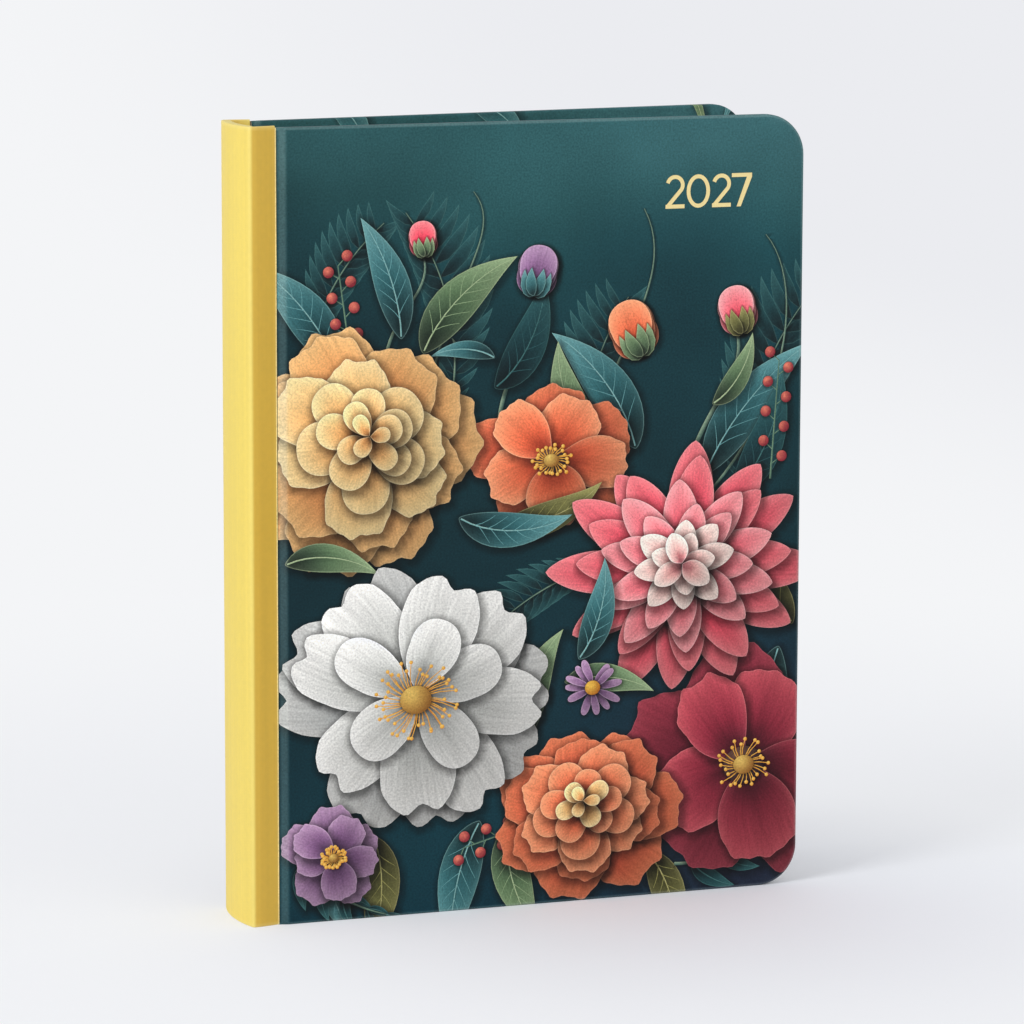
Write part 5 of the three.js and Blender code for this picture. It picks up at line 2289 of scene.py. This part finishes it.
@dataclass
class Headbands:
    """Striped silk beads over the ends of the block's back, each on its tape."""

    bead: float = 0.88
    ripple: float = 0.05
    thread: float = 0.375
    around: int = 14
    stations: int = 230
    end_length: float = 0.5
    seat: float = 0.9
    tape_width: float = 12.0
    tape_thickness: float = 0.3

    def band(self, node: str) -> None:
        """One headband: a ribbed bead along the block's thickness, with rounded ends, and its tape.

        The bead's radius is its size plus a small ripple for each silk thread, and falls to nothing
        over its last half millimetre as a quarter circle.

        Args:
            node: The frame's node that it stands for.
        """
        low, high = PLACE.box(node)
        at_head = low[2] > PLACE.height / 2
        length = high[1] - low[1]
        y = np.linspace(0, length, self.stations)
        end = np.minimum(np.minimum(y, length - y) / self.end_length, 1)
        ribbed = self.bead - self.ripple + self.ripple * np.cos(2 * math.pi * y / self.thread)
        radius = (ribbed * np.sqrt(np.maximum(1 - (1 - end) ** 2, 0.01)))[:, None]
        x, z = low[0] + self.bead + 0.02, high[2] - self.seat if at_head else low[2] + self.seat
        a = np.linspace(0, 2 * math.pi, self.around, endpoint=False)
        across = np.broadcast_to((low[1] + y)[:, None], (self.stations, self.around))
        ring = np.stack([x + radius * np.cos(a), across, z + radius * np.sin(a)], -1).reshape(-1, 3)
        left, right = low[0], low[0] + self.tape_thickness
        tip = z - self.tape_width if at_head else z + self.tape_width
        corners = ((left, z), (right, z), (right, tip), (left, tip))
        tape = [[corner[0], depth, corner[1]] for depth in (low[1], high[1]) for corner in corners]
        faces = loft_faces(self.stations, self.around) + loft_faces(2, 4, len(ring))
        points = PLACE.row(np.concatenate([ring, tape]))
        piece = make_object(f"{node}_silk", points, faces, [HEADBAND], 50)
        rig.replaces(piece, node)
        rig.ride(piece, "spine")
        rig.slot(piece, "headband")

    def build(self) -> None:
        """Builds both headbands."""
        for node in ("headband_top", "headband_bottom"):
            self.band(node)


NODE_FINISHES = {
    "spine_inlay": BOARD,
    "spine_lining": KRAFT,
    "mull": MULL,
    "front_joint_lining": MULL,
    "back_joint_lining": MULL,
    "front_flyleaf": ENDPAPER,
    "back_flyleaf": ENDPAPER,
    **{f"sewing_thread_{i}": THREAD for i in range(1, 6)},
    **{f"year_numeral_{i}": FOIL for i in range(1, 5)},
}


def dress_nodes() -> None:
    """Gives the frame's own shown nodes their finishes."""
    for name, finish in NODE_FINISHES.items():
        node = frame["nodes"][name]
        node.data.materials.clear()
        node.data.materials.append(finish.material())
        LOG.info("%s: dressed as %s", name, finish.name)


@dataclass
class Studio:
    """The floor that sweeps up into a backdrop, the light and the camera, in metres and watts."""

    azimuth: float = -20.40
    elevation: float = 9.02
    roll: float = 0.16
    lens: float = 179.54
    eye: Triple = (-0.4690, -1.26902, 0.3183)
    half_width: float = 3.2
    near: float = -2.6
    far: float = 1.5
    sweep: float = 0.9
    wall: float = 3.0
    aim: Triple = (0, 0, 0.1)
    sky_colour: tuple[float, float, float, float] = (0.96, 0.97, 1.0, 1)
    sky_strength: float = 0.62

    def floor(self) -> None:
        """A level floor, a quarter circle and a wall, as one profile carried along X."""
        a = np.linspace(0, math.pi / 2, 25)
        level = np.linspace(self.near, self.far, 12)[:-1]
        y = np.concatenate([level, self.far + self.sweep * np.sin(a)])
        z = np.concatenate([np.zeros_like(level), self.sweep * (1 - np.cos(a))])
        y, z = np.append(y, y[-1]), np.append(z, self.wall)
        x = np.linspace(-self.half_width, self.half_width, 3)[:, None]
        points = np.stack(np.broadcast_arrays(x, y, z), -1)
        faces = grid_faces(np.arange(x.size * y.size).reshape(x.size, y.size))
        floor = make_object("studio_floor", points, faces.tolist(), [GROUND], outwards=False)
        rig.stage(floor)

    def lamp(self, name: str, spot: Triple, size: float, power: float) -> None:
        """A square soft light at a spot, facing the book.

        Args:
            name: The lamp's name.
            spot: Its place.
            size: The length of its side.
            power: Its watts.
        """
        light = bpy.data.lights.new(name, "AREA")
        light.shape, light.size, light.energy = "SQUARE", size, power
        lamp = bpy.data.objects.new(name, light)
        lamp.location = spot
        lamp.rotation_euler = (Vector(self.aim) - Vector(spot)).to_track_quat("-Z", "Y").to_euler()
        bpy.context.scene.collection.objects.link(lamp)

    def camera(self) -> None:
        """The photograph's viewing angle and framing."""
        a, e, r = (math.radians(v) for v in (self.azimuth, self.elevation, self.roll))
        back = Vector((math.sin(a) * math.cos(e), -math.cos(a) * math.cos(e), math.sin(e)))
        right = (-back).cross(Vector((0, 0, 1))).normalized()
        up = back.cross(right)
        rolled = right * math.cos(r) + up * math.sin(r)
        upright = up * math.cos(r) - right * math.sin(r)
        data = bpy.data.cameras.new("camera")
        data.lens, data.sensor_width, data.clip_end = self.lens, 36, 50
        camera = bpy.data.objects.new("camera", data)
        rows = Matrix((rolled, upright, back)).transposed().to_4x4()
        camera.matrix_world = Matrix.Translation(self.eye) @ rows
        bpy.context.scene.collection.objects.link(camera)
        bpy.context.scene.camera = camera

    def build(self) -> None:
        """Builds the stage, the lamps, the world and the camera."""
        self.camera()
        self.floor()
        self.lamp("key", (-1.9, -0.85, 1.2), 0.8, 25)
        self.lamp("fill", (0.9, -1.9, 1.2), 1.4, 6)
        world = bpy.data.worlds.new("studio")
        world.use_nodes = True
        sky = world.node_tree.nodes["Background"]
        sky.inputs["Color"].default_value = self.sky_colour
        sky.inputs["Strength"].default_value = self.sky_strength
        bpy.context.scene.world = world
        bpy.context.scene.view_settings.view_transform = "Standard"


def main() -> None:
    """Builds the studio and every piece of the diary, in order."""
    logging.basicConfig(level=logging.INFO, format="%(name)s %(message)s")
    Studio().build()
    Cover(Side.FRONT).build(front_garden())
    Cover(Side.BACK).build(back_garden())
    SpineCloth().build()
    Endpapers().build()
    Block().build()
    Headbands().build()
    dress_nodes()
    bpy.context.view_layer.update()
    boxes = {"cad": CAD_BOX, "visual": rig.bounds()}
    plain = {name: [[float(v) for v in corner] for corner in box] for name, box in boxes.items()}
    with open(SIZE_FILE, "w", encoding="utf-8") as out:
        json.dump(plain, out)


if __name__ == "__main__":
    main()
